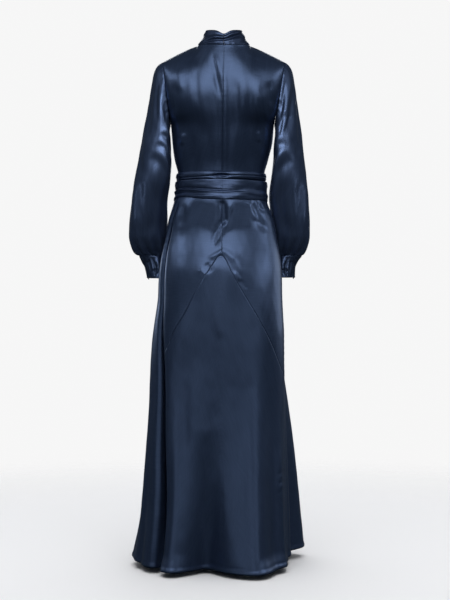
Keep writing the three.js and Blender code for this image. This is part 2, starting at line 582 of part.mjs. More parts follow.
function addCuff(side) {
  const outward = side === 'left' ? 1 : -1;
  const rows = grid.cuffRows;
  const lastRing = cuffRings[side].length - 1;
  const angleAt = (column) => cuffLap.startAngle + ((360 + cuffLap.angle) * column) / grid.cuffColumns;
  const ringAt = (row) => (lastRing * row) / rows;
  const surface = (angle, ring) => cuffPoint(side, angle, ring);
  addPiece(`cuff_${side}`, wallGeometry(grid.cuffColumns, rows,
    (column, row) => surface(angleAt(column), ringAt(row)),
    (column, row) => tubeNormal(surface, angleAt(column), ringAt(row), lastRing, outward, row === 0)),
  deepNavy);
}

// Collar surface at an angle from centre back and a share of its height. Crossing folds stand out of it,
// and its top dips to a notch at centre back.
function collarPoint(angle, share) {
  const side = angle > 180 ? -1 : 1;
  const sideAngle = angle > 180 ? 360 - angle : angle;
  const base = neckPoint(sideAngle, side);
  const sine = Math.sin(sideAngle * radians);
  const cosine = Math.cos(sideAngle * radians);
  const lean = lerp(share, Math.sin(share * Math.PI / 2), collarBand.inwardCurve);
  const topReach = cosine > 0 ? collarBand.topReachBack : collarBand.topReachFront;
  const top = new THREE.Vector3(
    neck.midX + side * collarBand.topHalfWidth * sine, neck.midY + topReach * cosine, 0);
  const height = collarBand.height - collarBand.notchDepth * bell(sideAngle, collarBand.notchHalfTurn);
  const slanted = share - side * collarBand.foldSlant * sideAngle;
  let folds = 0;
  for (const fold of collarFolds) folds += fold.strength * bell(slanted - fold.share, fold.halfShare);
  const foldRelief = collarBand.foldHeight * folds * Math.sin(share * Math.PI);
  const outward = new THREE.Vector3(side * sine, cosine, 0);
  const z = base.z + seamGap + collarBand.baseEase + height * share;
  return new THREE.Vector3(lerp(base.x, top.x, lean), lerp(base.y, top.y, lean), z)
    .addScaledVector(outward, foldRelief);
}

function addCollar() {
  const opening = collarBand.openingAngle;
  const columns = 4 * grid.neckColumns;
  const angleAt = (column) => clamp((360 * column) / columns, opening, 360 - opening);
  const shareAt = (row) => row / grid.collarRows;
  addPiece('collar', wallGeometry(columns, grid.collarRows,
    (column, row) => collarPoint(angleAt(column), shareAt(row)),
    (column, row) => {
      const limits = { u0: opening, u1: 360 - opening, v0: 0, v1: 1 };
      const angle = angleAt(column);
      const normal = surfaceNormal(collarPoint, angle, shareAt(row), limits);
      const outward = new THREE.Vector3(Math.sin(angle * radians), Math.cos(angle * radians), 0);
      return normal.dot(outward) < 0 ? normal.negate() : normal;
    }), deepNavy);
}

// A piece that lies on the dress: body points moved out along the body's own direction.
const layerPoint = (turn, z, stand) => bodyPoint(turn, z).addScaledVector(bodyNormal(turn, z), stand);

// Relief of the band's two soft creases, and of the wrap's roll, at a turn and a share of the height.
function bandRelief(turn, share) {
  let relief = 0;
  for (const fold of bandFolds) {
    const centre = fold.share + fold.sway * Math.sin(turn * radians + fold.start);
    relief += fold.strength * bell(share - centre, fold.halfShare);
  }
  return sash.creaseDepth * relief;
}

function wrapRelief(turn, share) {
  const sway = 1 - sash.wrapSway + sash.wrapSway * Math.cos(sash.wrapWaves * turn * radians);
  return sash.wrapRoll * Math.sin(Math.PI * share) * sway;
}

const sashTurn = (column) => (360 * column) / grid.sashColumns;

function bandPoint(column, row) {
  const share = row / grid.sashRows;
  const turn = sashTurn(column);
  return layerPoint(turn, lerp(sash.topZ, sash.bottomZ, share), sash.stand + bandRelief(turn, share));
}

function wrapPoint(column, row) {
  const share = row / grid.wrapRows;
  const turn = sashTurn(column);
  const z = lerp(sash.wrapTopZ, sash.wrapBottomZ, share);
  return layerPoint(turn, z, sash.wrapStand + wrapRelief(turn, share));
}

function addSashBands() {
  const levelNormal = (column, z) => bodyNormal(sashTurn(column), z).setZ(0).normalize();
  const bandZ = (row) => lerp(sash.topZ, sash.bottomZ, row / grid.sashRows);
  const wrapZ = (row) => lerp(sash.wrapTopZ, sash.wrapBottomZ, row / grid.wrapRows);
  addPiece('sash_band', wallGeometry(grid.sashColumns, grid.sashRows, bandPoint,
    (column, row) => levelNormal(column, bandZ(row)), { closed: true }), deepNavy);
  addPiece('sash_upper_wrap', wallGeometry(grid.sashColumns, grid.wrapRows, wrapPoint,
    (column, row) => levelNormal(column, wrapZ(row)), { closed: true }), deepNavy);
}

// Point on the band's own facets at a turn and height, between the four grid points round it.
function onBand(turn, z) {
  const column = (turn * grid.sashColumns) / 360;
  const down = (z - sash.topZ) / (sash.bottomZ - sash.topZ);
  const row = clamp(down * grid.sashRows, 0, grid.sashRows - 1e-6);
  const left = Math.floor(column);
  const upper = Math.floor(row);
  const above = bandPoint(left, upper).lerp(bandPoint(left + 1, upper), column - left);
  const below = bandPoint(left, upper + 1).lerp(bandPoint(left + 1, upper + 1), column - left);
  return above.lerp(below, row - upper);
}

// The knot: a rounded lump with a deep crease across it, flat against the band's outer face.
function addKnot() {
  const { knotColumns: columns, knotRows: rows } = grid;
  const turnAt = (column) => lerp(knot.turn - knot.halfTurn, knot.turn + knot.halfTurn, column / columns);
  const zAt = (row) => lerp(knot.z + knot.halfHeight, knot.z - knot.halfHeight, row / rows);
  const swell = (column, row) => {
    const a = (2 * column) / columns - 1;
    const b = (2 * row) / rows - 1;
    const arch = (place) => Math.sqrt(Math.max(0, 1 - place ** knot.squareness));
    const crease = knot.creaseDepth * bell(a + knot.creaseSlant * b, knot.creaseHalfWidth);
    return clothWall + knot.thickness * arch(a) * arch(b) * (1 - crease);
  };
  const facePoint = (column, row, stand) => onBand(turnAt(column), zAt(row))
    .addScaledVector(bodyNormal(turnAt(column), zAt(row)), stand);
  const outer = (column, row) => facePoint(column, row, knot.lift + swell(column, row));
  const inner = (column, row) => facePoint(column, row, knot.lift);
  addPiece('sash_knot', wallGeometry(columns, rows, outer,
    (column, row) => outer(column, row).sub(inner(column, row)), { thickness: 1 }), deepNavy);
}

// A hanging end of the sash: it starts just under the band, widens as it falls and has one soft flute.
function addTail(name, tail) {
  const shareAt = (row) => row / grid.tailRows;
  const acrossAt = (column) => (2 * column) / grid.tailColumns - 1;
  const placeAt = (column, row) => {
    const share = shareAt(row);
    const z = lerp(tailShape.topZ, tail.bottomZ, share);
    const centre = lerp(tail.startTurn, tail.endTurn, share);
    const widened = smoothstep(share, 0, tailShape.wideFrom);
    const half = tailShape.halfWidth * lerp(tailShape.topNarrowing, 1, widened);
    const reach = bodyPoint(centre, z).setZ(0).length();
    const across = acrossAt(column);
    return [centre + (across * half) / (reach * radians), z + tailShape.endSlant * across * share];
  };
  const fluteAt = (column, row) => {
    const share = shareAt(row);
    const crest = 0.5 + 0.5 * Math.cos(2 * Math.PI * acrossAt(column));
    const fade = smoothstep(share, 0, tailShape.fluteFrom) * (1 - tailShape.fluteLoss * share);
    return tailShape.flute * crest * fade;
  };
  addPiece(name, wallGeometry(grid.tailColumns, grid.tailRows,
    (column, row) => layerPoint(...placeAt(column, row), tailShape.stand + fluteAt(column, row)),
    (column, row) => bodyNormal(...placeAt(column, row))), deepNavy);
}

addBodice();
addSkirt();
for (const side of ['left', 'right']) {
  addSleeve(side);
  addCuff(side);
}
addCollar();
addSashBands();
addKnot();
addTail('sash_tail_long', tails.long);
addTail('sash_tail_short', tails.short);

export default dress;
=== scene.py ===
import bpy
import json
import math
import mathutils
import numpy as np
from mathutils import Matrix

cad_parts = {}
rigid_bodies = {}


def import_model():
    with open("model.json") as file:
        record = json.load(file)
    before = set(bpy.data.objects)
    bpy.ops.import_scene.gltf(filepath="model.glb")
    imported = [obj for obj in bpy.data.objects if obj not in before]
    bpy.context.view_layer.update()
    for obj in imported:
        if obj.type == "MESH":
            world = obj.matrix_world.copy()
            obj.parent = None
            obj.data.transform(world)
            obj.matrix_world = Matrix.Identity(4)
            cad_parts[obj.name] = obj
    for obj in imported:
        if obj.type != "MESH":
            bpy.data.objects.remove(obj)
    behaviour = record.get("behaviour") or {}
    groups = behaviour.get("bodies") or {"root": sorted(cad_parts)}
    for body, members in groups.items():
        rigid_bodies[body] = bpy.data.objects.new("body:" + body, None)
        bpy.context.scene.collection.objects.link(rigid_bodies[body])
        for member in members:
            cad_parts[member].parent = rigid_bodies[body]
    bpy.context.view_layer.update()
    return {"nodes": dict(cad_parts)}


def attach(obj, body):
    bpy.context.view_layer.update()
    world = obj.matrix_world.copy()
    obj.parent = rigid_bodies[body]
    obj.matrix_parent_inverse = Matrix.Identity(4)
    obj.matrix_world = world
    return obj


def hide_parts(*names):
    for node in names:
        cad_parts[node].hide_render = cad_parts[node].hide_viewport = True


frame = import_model()
print("frame loaded:", len(frame["nodes"]), "nodes")

# Sizes are in millimetres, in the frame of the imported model: +Z up, +Y out of the back, +X the wearer's left.
# Turns are degrees round the body: 0 centre back, 90 left side, 180 centre front, -90 right side.
metre = 0.001
heightOnly = np.array([0, 0, 1])


# Rows of a table as dictionaries with named columns.
def named(columns, rows):
    return [dict(zip(columns.split(), row)) for row in rows]


neck = {"midX": -5.6, "midY": -6, "halfWidth": 77, "reachBack": 68, "reachFront": 69, "backZ": -8,
        "frontZ": -52}
armhole = {"topHalf": 179.6, "lowHalf": 152, "topZ": -49, "lowZ": -236, "reach": 58, "blade": 97, "chest": 92,
           "topLean": -5.6, "lowLean": -1.5}
shoulder = {"slopeLeft": 1.2, "slopeRight": 1.15, "neckShare": 0.4}
waistZ = -424
backFlatness = 0.85
blade = {"roundness": 0.6, "rise": 0.8}
hem = {"backZ": -1522, "frontLift": 32, "liftPower": 1.6}
bust = {"turn": 40, "z": -252, "rise": 10, "spreadTurn": 17, "spreadZ": 48}

bodySections = named("z left right back front", (
    (-236, 150.5, 153.5, 97, 104), (-292, 146, 148.5, 93, 103), (-328, 141.5, 139, 89, 96),
    (-350, 137, 133.5, 86, 90), (-378, 129, 124.5, 85, 86), (-424, 130, 125, 89, 85),
    (-462, 141.5, 133, 103, 92), (-511, 158.5, 152, 103.5, 105), (-552, 166, 159.5, 107, 112),
    (-623, 180.5, 170, 121, 121), (-670, 186.5, 174, 129.5, 126), (-750, 190.5, 175.5, 133, 134),
    (-838, 203, 180.5, 131, 144), (-918, 209, 182, 129, 153), (-1057, 213.5, 183.5, 130, 170),
    (-1194, 223.5, 185, 135, 190), (-1370, 238, 187, 143, 214), (-1522, 259, 190, 150, 232)))

# Folds that open towards the hem: outward depth at the hem, half-width in degrees, height where each begins,
# and the power of the share of the way down that it grows with.
hemFolds = named("turn depth halfTurn top growth", (
    (33, 26, 8, -1150, 1.25), (11, -48, 10, -1120, 1.25), (-26, 53, 18, -1000, 1.25),
    (-62, 16, 10, -1000, 1.25), (-97, 7, 4.5, -1100, 1.25), (-106, -26, 5, -1000, 1),
    (-121, 98, 16, -940, 0.52), (-157, -30, 9, -950, 1.25), (-176, 26, 11, -900, 1.25),
    (161, -28, 9, -980, 1.25), (142, 30, 12, -860, 1.25), (120, -24, 8, -1000, 1.25),
    (101, 16, 9, -1150, 1.25), (72, -12, 8, -1200, 1.25),
))

# The deep fold that the left side seam lies in.
grooveHalfTurn = 4.2
groove = named("z turn depth", (
    (-424, 62, 0), (-470, 63, 0), (-552, 69, 9), (-670, 66.5, 14), (-750, 64, 15),
    (-918, 56, 17), (-1131, 53, 19), (-1314, 48, 22), (-1522, 45, 24)))
rightSeam = {"topTurn": -89, "hemTurn": -83}
yokeSeam = named("turn z", (
    (-89, -985), (-66.5, -944), (-49, -872), (-28.5, -772), (-12, -690), (0, -622),
    (12, -668), (23, -729), (32, -789), (40, -832), (48, -884), (57, -925)))


# Column of a table at any places: cubic between rows, whose slopes join the rows on either side.
def tableColumn(table, key, column, places):
    rows = sorted(table, key=lambda row: row[key])
    xs = np.array([row[key] for row in rows], float)
    ys = np.array([row[column] for row in rows], float)
    low = np.clip(np.arange(len(xs)) - 1, 0, None)
    high = np.clip(np.arange(len(xs)) + 1, None, len(xs) - 1)
    slopes = (ys[high] - ys[low]) / (xs[high] - xs[low])
    places = np.asarray(places, float)
    row = np.clip(np.searchsorted(xs, places, side="right") - 1, 0, len(xs) - 2)
    span = xs[row + 1] - xs[row]
    t = np.clip((places - xs[row]) / span, 0, 1)
    blend = t * t * (3 - 2 * t)
    return (ys[row] * (1 - blend) + ys[row + 1] * blend
            + span * (slopes[row] * t * (1 - t) ** 2 - slopes[row + 1] * t * t * (1 - t)))


# Bell: e to the minus square of distance over half-width.
def bell(distance, halfWidth):
    return np.exp(-(distance / halfWidth) ** 2)


# Straight blend from a to b by share.
def mix(a, b, share):
    return a + (b - a) * share


# Soft step from 0 at low to 1 at high: 3t^2 - 2t^3.
def softStep(value, low, high):
    t = np.clip((value - low) / (high - low), 0, 1)
    return t * t * (3 - 2 * t)


# Difference of two turns, wrapped to -180..180.
def turnApart(a, b):
    return (a - b + 180) % 360 - 180


# Unit vectors along the last axis.
def unit(vectors):
    return vectors / np.maximum(np.linalg.norm(vectors, axis=-1, keepdims=True), 1e-9)


# Hem height: level at the back, lifted to the front by ((1 - cos turn) / 2) to a power.
def hemHeight(turn):
    return hem["backZ"] + hem["frontLift"] * ((1 - np.cos(np.radians(turn))) / 2) ** hem["liftPower"]


# Body point: ellipse quarters (wide sin turn, deep cos turn) moved out by hem folds, side groove and bust.
def bodyPoint(turn, z):
    turn, z = np.broadcast_arrays(np.asarray(turn, float), np.asarray(z, float))
    sine, cosine = np.sin(np.radians(turn)), np.cos(np.radians(turn))
    level = np.clip(z, hem["backZ"], bodySections[0]["z"])
    wide = np.where(sine > 0, tableColumn(bodySections, "z", "left", level),
                    tableColumn(bodySections, "z", "right", level))
    deep = np.where(cosine > 0, tableColumn(bodySections, "z", "back", level),
                    tableColumn(bodySections, "z", "front", level))
    rise = np.zeros(turn.shape)
    for fold in hemFolds:
        grown = np.clip((fold["top"] - level) / (fold["top"] - hem["backZ"]), 0, 1) ** fold["growth"]
        rise += fold["depth"] * grown * bell(turnApart(turn, fold["turn"]), fold["halfTurn"])
    grooveApart = turnApart(turn, tableColumn(groove, "z", "turn", level))
    rise -= tableColumn(groove, "z", "depth", level) * bell(grooveApart, grooveHalfTurn)
    bustTurn = np.abs(turnApart(turn, 180))
    bustRise = bell(bustTurn - bust["turn"], bust["spreadTurn"]) * bell(z - bust["z"], bust["spreadZ"])
    rise += bust["rise"] * bustRise
    outward = unit(np.stack([sine * deep, cosine * wide, np.zeros(turn.shape)], axis=-1))
    flattened = np.where(cosine > 0, np.abs(cosine) ** backFlatness, cosine)
    return np.stack([wide * sine, deep * flattened, z], axis=-1) + outward * rise[..., None]


# Grid evened out: each inner point moves to the mean of itself and its four neighbours, again and again.
def evened(points, passes):
    points = points.copy()
    for _ in range(passes):
        around = points[:-2, 1:-1] + points[2:, 1:-1] + points[1:-1, :-2] + points[1:-1, 2:]
        points[1:-1, 1:-1] = points[1:-1, 1:-1] / 2 + around / 8
    return points


# Outward unit normals of a grid of points: the cross product of its differences along rows and columns,
# turned to point away from the middles.
def outwardNormals(points, middles, closed=False):
    across = np.gradient(points, axis=1)
    if closed:
        across = np.roll(points, -1, axis=1) - np.roll(points, 1, axis=1)
    normals = unit(np.cross(across, np.gradient(points, axis=0)))
    facing = np.sum(normals * (points - middles), axis=-1).mean()
    return normals if facing > 0 else -normals


# Fade along a crease: a soft step in from just before its start, and one out to just past its end.
def endFade(along, past, within):
    return softStep(along, -past, within) * (1 - softStep(along, 1 - within, 1 + past))


# A crease's row may leave out its skew, and then has the usual one. Its ends fade over shares of its length.
creaseColumns = ("a0", "b0", "a1", "b1", "bow", "depth", "width", "skew")
creaseShape = {"usualSkew": 1.2, "past": 0.12, "within": 0.28}


# Sum of listed creases: each is a bell across a bowed line from one place to another, faded at its
# ends, and wider on one side by its skew. Depth below zero is a trough.
def creaseField(a, b, creases):
    total = np.zeros(np.broadcast(a, b).shape)
    for row in creases:
        crease = dict(zip(creaseColumns, (*row, creaseShape["usualSkew"])))
        da, db = crease["a1"] - crease["a0"], crease["b1"] - crease["b0"]
        length = math.hypot(da, db)
        along = ((a - crease["a0"]) * da + (b - crease["b0"]) * db) / length ** 2
        aside = ((b - crease["b0"]) * da - (a - crease["a0"]) * db) / length
        aside = aside - crease["bow"] * 4 * along * (1 - along)
        width = np.where(aside > 0, crease["width"] * crease["skew"], crease["width"])
        fade = endFade(along, creaseShape["past"], creaseShape["within"])
        total += crease["depth"] * fade * bell(aside, width)
    return total


# Gentle uneven swell: for each row of size, wavelength, seed and stretch, a sum of slanted sine waves with
# seeded phases, whose size is about one before it is multiplied.
def swell(a, b, rows, waves=9):
    total = np.zeros(np.broadcast(a, b).shape)
    for size, wavelength, seed, stretch in rows:
        random = np.random.default_rng(seed)
        for _ in range(waves):
            heading = random.uniform(0, math.pi)
            pace = 2 * math.pi / (wavelength * random.uniform(0.6, 1.7))
            phase = random.uniform(0, 2 * math.pi)
            along = a * math.cos(heading) + b * math.sin(heading) / stretch
            total += size / math.sqrt(waves) * np.sin(pace * along + phase)
    return total


# Lines of a grid: columns from low to high, as a row of values, and shares from 0 to 1, as a column of them.
def gridLines(size, low, high, closed=False):
    columns, rows = size
    return np.linspace(low, high, columns, endpoint=not closed)[None, :], np.linspace(0, 1, rows)[:, None]


# Running length along an axis of a grid: the steps between neighbouring points, added up from nothing.
def runningLength(points, axis):
    steps = np.linalg.norm(np.diff(points, axis=axis), axis=-1)
    start = np.zeros_like(np.take(steps, [0], axis=axis))
    return np.cumsum(np.concatenate([start, steps], axis=axis), axis=axis)


# Distance along the grid from each of its four edges: left, right, top and bottom.
def edgeDistances(points):
    fromLeft, fromTop = runningLength(points, 1), runningLength(points, 0)
    return fromLeft, fromLeft[:, -1:] - fromLeft, fromTop, fromTop[-1:] - fromTop


# A sewn edge: a dip along it and small puckers across it that die out with distance.
def seamDip(distance, along, seed, pucker=0.5, dip=0.9, reach=2.6, spread=13):
    random = np.random.default_rng(seed)
    waves = sum(np.sin(2 * math.pi * along / random.uniform(9, 21) + random.uniform(0, 6)) for _ in range(3))
    return -dip * np.exp(-(distance / reach) ** 2) + pucker * waves / 3 * np.exp(-distance / spread)


# One piece of cloth: a grid surface as quads between neighbouring points, with UVs in metres across and down
# the cloth, its finish, and its thickness put on inwards by a Solidify. It hangs on the frame's root, and the
# frame's node for it is hidden.
def clothPiece(name, node, slot, points, across, down, outward, closed=False,
               thickness=0.9):
    rows, columns = points.shape[:2]
    index = np.arange(rows * columns).reshape(rows, columns)
    right = np.roll(index, -1, axis=1) if closed else index[:, 1:]
    left = index if closed else index[:, :-1]
    quads = np.stack([left[:-1], left[1:], right[1:], right[:-1]], axis=-1).reshape(-1, 4)
    corners = points.reshape(-1, 3)[quads]
    faceNormals = np.cross(corners[:, 1] - corners[:, 0], corners[:, 3] - corners[:, 0])
    if np.sum(faceNormals * outward.reshape(-1, 3)[quads[:, 0]]) < 0:
        quads = quads[:, ::-1]
    mesh = bpy.data.meshes.new(name)
    mesh.from_pydata(points.reshape(-1, 3) * metre, [], quads, shade_flat=False)
    uv = np.stack(np.broadcast_arrays(across * metre, down * metre), axis=-1)
    quadUv = uv.reshape(-1, 2)[quads]
    if closed:                                  # quads that close the ring run on past the last column
        width = uv[..., 0].max() * columns / (columns - 1)
        wraps = np.ptp(quadUv[..., 0], axis=1) > width / 2
        quadUv[..., 0] += width * (wraps[:, None] & (quadUv[..., 0] < width / 2))
    layer = mesh.uv_layers.new(name="cloth")
    layer.data.foreach_set("uv", quadUv.reshape(-1).astype(np.float32))
    mesh.validate()
    mesh.materials.append(satins[slot])
    piece = bpy.data.objects.new(name, mesh)
    bpy.context.scene.collection.objects.link(piece)
    solid = piece.modifiers.new("clothThickness", "SOLIDIFY")
    solid.thickness = thickness * metre
    solid.offset = -1
    solid.use_even_offset = False
    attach(piece, "root")
    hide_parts(node)


# Sockets of a node: the output of another node is linked, and anything else is set as a plain value.
def fillSockets(tree, node, sockets):
    for name, value in sockets.items():
        if isinstance(value, bpy.types.NodeSocket):
            tree.links.new(value, node.inputs[name])
        else:
            node.inputs[name].default_value = value


# New node of a kind, with its settings, and its sockets filled.
def addNode(tree, kind, sockets=None, **settings):
    node = tree.nodes.new(kind)
    for name, value in settings.items():
        setattr(node, name, value)
    fillSockets(tree, node, sockets or {})
    return node


# New material, its node tree and its Principled shader.
def newMaterial(name):
    material = bpy.data.materials.new(name)
    material.use_nodes = True
    return material, material.node_tree, material.node_tree.nodes["Principled BSDF"]


# Threads of the satin: lengths and widths of the noises in metres, and how far the roughness swings.
threadLook = {"streakLength": 0.16, "slubWidth": 0.05, "slubLength": 0.004, "ribPitches": 6.0,
              "fineLength": 0.03, "roughSwing": 0.12}


# Shared group: threads of the satin. Streaks run down the cloth, ribs lie across it, and both come from the
# cloth UVs. It puts out a tone, a roughness change and a height.
def makeThreadGroup():
    group = bpy.data.node_groups.new("satinThreads", "ShaderNodeTree")
    for name, default in (("threadPitch", 0.0011), ("streakWidth", 0.0045), ("slubAmount", 0.5)):
        socket = group.interface.new_socket(name=name, in_out="INPUT", socket_type="NodeSocketFloat")
        socket.default_value = default
    for name in ("tone", "roughChange", "height"):
        group.interface.new_socket(name=name, in_out="OUTPUT", socket_type="NodeSocketFloat")
    inputs = addNode(group, "NodeGroupInput").outputs
    uvMap = addNode(group, "ShaderNodeUVMap", uv_map="cloth")
    split = addNode(group, "ShaderNodeSeparateXYZ", {0: uvMap.outputs["UV"]}).outputs

    # One step of arithmetic on two values, each a number or an output.
    def maths(operation, first, second):
        return addNode(group, "ShaderNodeMath", {0: first, 1: second}, operation=operation).outputs[0]

    # Noise stretched to a width across the cloth and a length down it, both in metres.
    def stretchedNoise(width, length, detail):
        place = addNode(group, "ShaderNodeCombineXYZ", {
            "X": maths("DIVIDE", split["X"], width), "Y": maths("DIVIDE", split["Y"], length)})
        return addNode(group, "ShaderNodeTexNoise", {
            "Vector": place.outputs[0], "Scale": 1.0, "Detail": detail}).outputs["Fac"]

    pitch = inputs["threadPitch"]
    streaks = stretchedNoise(inputs["streakWidth"], threadLook["streakLength"], 2.0)
    slubs = stretchedNoise(threadLook["slubWidth"], threadLook["slubLength"], 1.0)
    ribs = stretchedNoise(maths("MULTIPLY", pitch, threadLook["ribPitches"]), pitch, 1.0)
    fineStreaks = stretchedNoise(pitch, threadLook["fineLength"], 1.0)
    slubPart = maths("MULTIPLY", maths("SUBTRACT", slubs, 0.5), inputs["slubAmount"])
    addNode(group, "NodeGroupOutput", {
        "tone": maths("ADD", maths("MULTIPLY", maths("ADD", streaks, fineStreaks), 0.5), slubPart),
        "roughChange": maths("MULTIPLY", maths("SUBTRACT", streaks, 0.5), threadLook["roughSwing"]),
        "height": maths("MULTIPLY", maths("ADD", ribs, fineStreaks), 0.5)})
    return group


threadGroup = makeThreadGroup()
satinLook = {"stops": (0.3, 0.72), "bumpStrength": 0.06, "bumpDistance": 0.0004}
satinGloss = {"Metallic": 0.78, "Specular IOR Level": 0.5, "Specular Tint": (0.92, 0.96, 1.0, 1),
              "Sheen Weight": 0.03, "Sheen Roughness": 0.4, "Sheen Tint": (0.35, 0.47, 0.75, 1),
              "Anisotropic": 0.35}


# A satin finish: dark to light navy by the thread tone, roughness by the streaks, fine bump from the threads.
def makeSatin(name, dark, light, roughness):
    material, tree, shader = newMaterial(name)
    threads = addNode(tree, "ShaderNodeGroup", node_tree=threadGroup).outputs
    ramp = addNode(tree, "ShaderNodeValToRGB", {"Fac": threads["tone"]})
    for stop, position, colour in zip(ramp.color_ramp.elements, satinLook["stops"], (dark, light)):
        stop.position = position
        stop.color = (*colour, 1)
    rough = addNode(tree, "ShaderNodeMath", {0: threads["roughChange"], 1: roughness}, operation="ADD")
    bump = addNode(tree, "ShaderNodeBump", {
        "Strength": satinLook["bumpStrength"], "Distance": satinLook["bumpDistance"],
        "Height": threads["height"]})
    fillSockets(tree, shader, {**satinGloss, "Base Color": ramp.outputs["Color"],
                               "Roughness": rough.outputs[0], "Normal": bump.outputs["Normal"]})
    return material


satins = {
    "satin_bodice": makeSatin("satinBodice", (0.064, 0.100, 0.190), (0.080, 0.123, 0.230), 0.33),
    "satin_collar": makeSatin("satinCollar", (0.060, 0.092, 0.176), (0.075, 0.112, 0.210), 0.30),
    "satin_sleeve": makeSatin("satinSleeve", (0.064, 0.098, 0.186), (0.080, 0.120, 0.224), 0.34),
    "satin_cuff": makeSatin("satinCuff", (0.057, 0.088, 0.168), (0.072, 0.108, 0.202), 0.32),
    "satin_skirt": makeSatin("satinSkirt", (0.064, 0.100, 0.190), (0.080, 0.123, 0.230), 0.33),
    "satin_sash": makeSatin("satinSash", (0.060, 0.092, 0.176), (0.075, 0.112, 0.210), 0.30),
}
print("finishes made")

# Skirt, in four pieces. Shares run from the left seam round to the right one, which the yoke's centre-back
# seam parts, and levels run from 0 at the waist by 1 at the yoke seam to 2 at the hem.
centreShare = 0.41
frontTurns = (yokeSeam[-1]["turn"], yokeSeam[0]["turn"] + 360)


# Turn of the left side seam at a height: it lies in the groove.
def leftSeamTurn(z):
    return tableColumn(groove, "z", "turn", np.clip(z, hem["backZ"], waistZ))


# Turn of the right side seam at a height: a straight blend from waist to hem.
def rightSeamTurn(z):
    return mix(rightSeam["topTurn"], rightSeam["hemTurn"], (waistZ - z) / (waistZ - hem["backZ"]))


# Height of the yoke seam: the V at the back, a slanted level line round the front.
def splitHeight(turn, isBack):
    if isBack:
        return tableColumn(yokeSeam, "turn", "z", turn)
    share = np.clip((turn - frontTurns[0]) / (frontTurns[1] - frontTurns[0]), 0, 1)
    return mix(yokeSeam[-1]["z"], yokeSeam[0]["z"], share)


# Turn and height of grid places: a few passes settle turn and height on each other.
def skirtPlaces(share, level, isBack):
    share, level = np.broadcast_arrays(share, level)
    turn = frontTurns[0] * (1 - share / centreShare) if isBack else mix(*frontTurns, share)
    for _ in range(10):
        split = splitHeight(turn, isBack)
        z = np.where(level < 1, mix(waistZ, split, level), mix(split, hemHeight(turn), level - 1))
        if isBack:
            turn = np.where(share < centreShare, leftSeamTurn(z) * (1 - share / centreShare),
                            rightSeamTurn(z) * (share - centreShare) / (1 - centreShare))
        else:
            turn = mix(leftSeamTurn(z), rightSeamTurn(z) + 360, share)
    return turn, z


# Creases of the skirt back, in x and z.
skirtBackCreases = (
    (2, -456, -10, -536, -3, -6.5, 8, 1.5), (-11, -512, 24, -598, 6, -4.6, 7, 1.5),
    (-30, -468, -15, -546, 4, 4.8, 9, 1.3), (-17, -528, 16, -590, 5, 4.6, 8, 1.3),
    (38, -630, -8, -604, 3, 2.6, 7), (-4, -604, -34, -640, -2, 1.8, 8), (62, -662, 42, -684, 0, 2.8, 6),
    (44, -646, 30, -672, 0, -2.2, 7), (-32, -672, -52, -694, 0, 2.8, 6), (-54, -694, -70, -718, 0, -2.2, 7),
    (28, -756, 4, -856, -4, 2.2, 11), (14, -474, 22, -548, -2, 1.8, 12),
    (-90, -464, -128, -548, 6, -5.0, 11, 1.3), (-78, -462, -104, -520, 4, 3.4, 8),
    (-104, -462, -120, -494, 2, -2.8, 5), (-96, -460, -104, -484, 1, 2.4, 4),
    (-112, -462, -122, -486, 1, 2.2, 4), (60, -466, 86, -545, -6, -1.4, 18, 1.3),
    (96, -468, 118, -560, -5, 1.2, 16, 1.1), (112, -470, 122, -536, -4, -1.6, 10),
    (40, -640, 62, -800, 10, 2.2, 26, 1.3), (-40, -700, -88, -880, -12, -2.6, 28),
    (-24, -612, -62, -690, -6, 2.2, 14), (90, -860, 112, -1240, 8, -3.0, 24, 1.3),
    (60, -960, 74, -1460, 5, 3.4, 24), (-20, -840, -30, -1180, -6, 2.6, 30),
    (-92, -940, -110, -1500, -6, 3.4, 26), (-60, -1010, -66, -1500, 5, -3.6, 22, 1.3),
    (-146, -1000, -158, -1500, 3, -3.4, 16), (22, -1060, 30, -1500, 0, -3.0, 22, 1.3),
    (128, -1040, 138, -1480, 0, 3.6, 16), (-168, -1180, -172, -1320, 2, 2.0, 7, 1.3),
    (-162, -1310, -178, -1296, 0, -1.3, 4, 1.0), (-164, -1282, -178, -1268, 0, -1.4, 4, 1.0),
    (-162, -1256, -178, -1240, 0, -1.3, 4.5, 1.0),
)
# The hips' upper slope: outward move of the skirt back, by height, that draws the light's crisp upper edge.
hipSlope = named("z move", (
    (-424, 0), (-500, 0), (-545, -2.6), (-580, -1.2), (-623, 2.2), (-680, 5.6), (-720, 8.2), (-770, 10.2),
    (-850, 9.6), (-960, 6), (-1100, 2), (-1260, 0), (-1522, 0)))

# Creases of the skirt front and sides, in turn times two and z.
skirtFrontCreases = (
    (170, -480, 190, -900, 8, -5.0, 16), (210, -470, 226, -760, -8, 4.0, 18, 1.3),
    (250, -466, 262, -620, 4, -4.0, 12), (290, -470, 296, -880, 8, 4.0, 20),
    (330, -466, 326, -640, -3, -3.6, 13, 1.3), (362, -470, 360, -980, 6, 4.4, 22, 1.1),
    (398, -466, 402, -700, -4, -3.6, 14), (436, -480, 440, -900, -6, 4.0, 18),
    (476, -470, 484, -820, 4, -4.2, 15), (510, -500, 516, -1000, 4, 3.8, 15),
    (150, -900, 158, -1490, 4, 4.0, 14, 1.3), (186, -960, 196, -1490, -5, -4.6, 13),
    (232, -1000, 240, -1480, 3, 4.4, 15), (272, -1010, 276, -1480, 4, -4.4, 13, 1.3),
    (312, -990, 316, -1480, -4, 4.2, 14), (348, -1040, 346, -1480, 3, -4.8, 14, 1.1),
    (386, -1000, 384, -1480, 3, 4.6, 15), (424, -1010, 420, -1480, -4, -4.4, 13),
    (462, -1000, 462, -1480, 4, 4.4, 14), (500, -1050, 504, -1480, 0, -4.6, 12),
    (524, -1080, 528, -1480, 0, 3.4, 9),
)
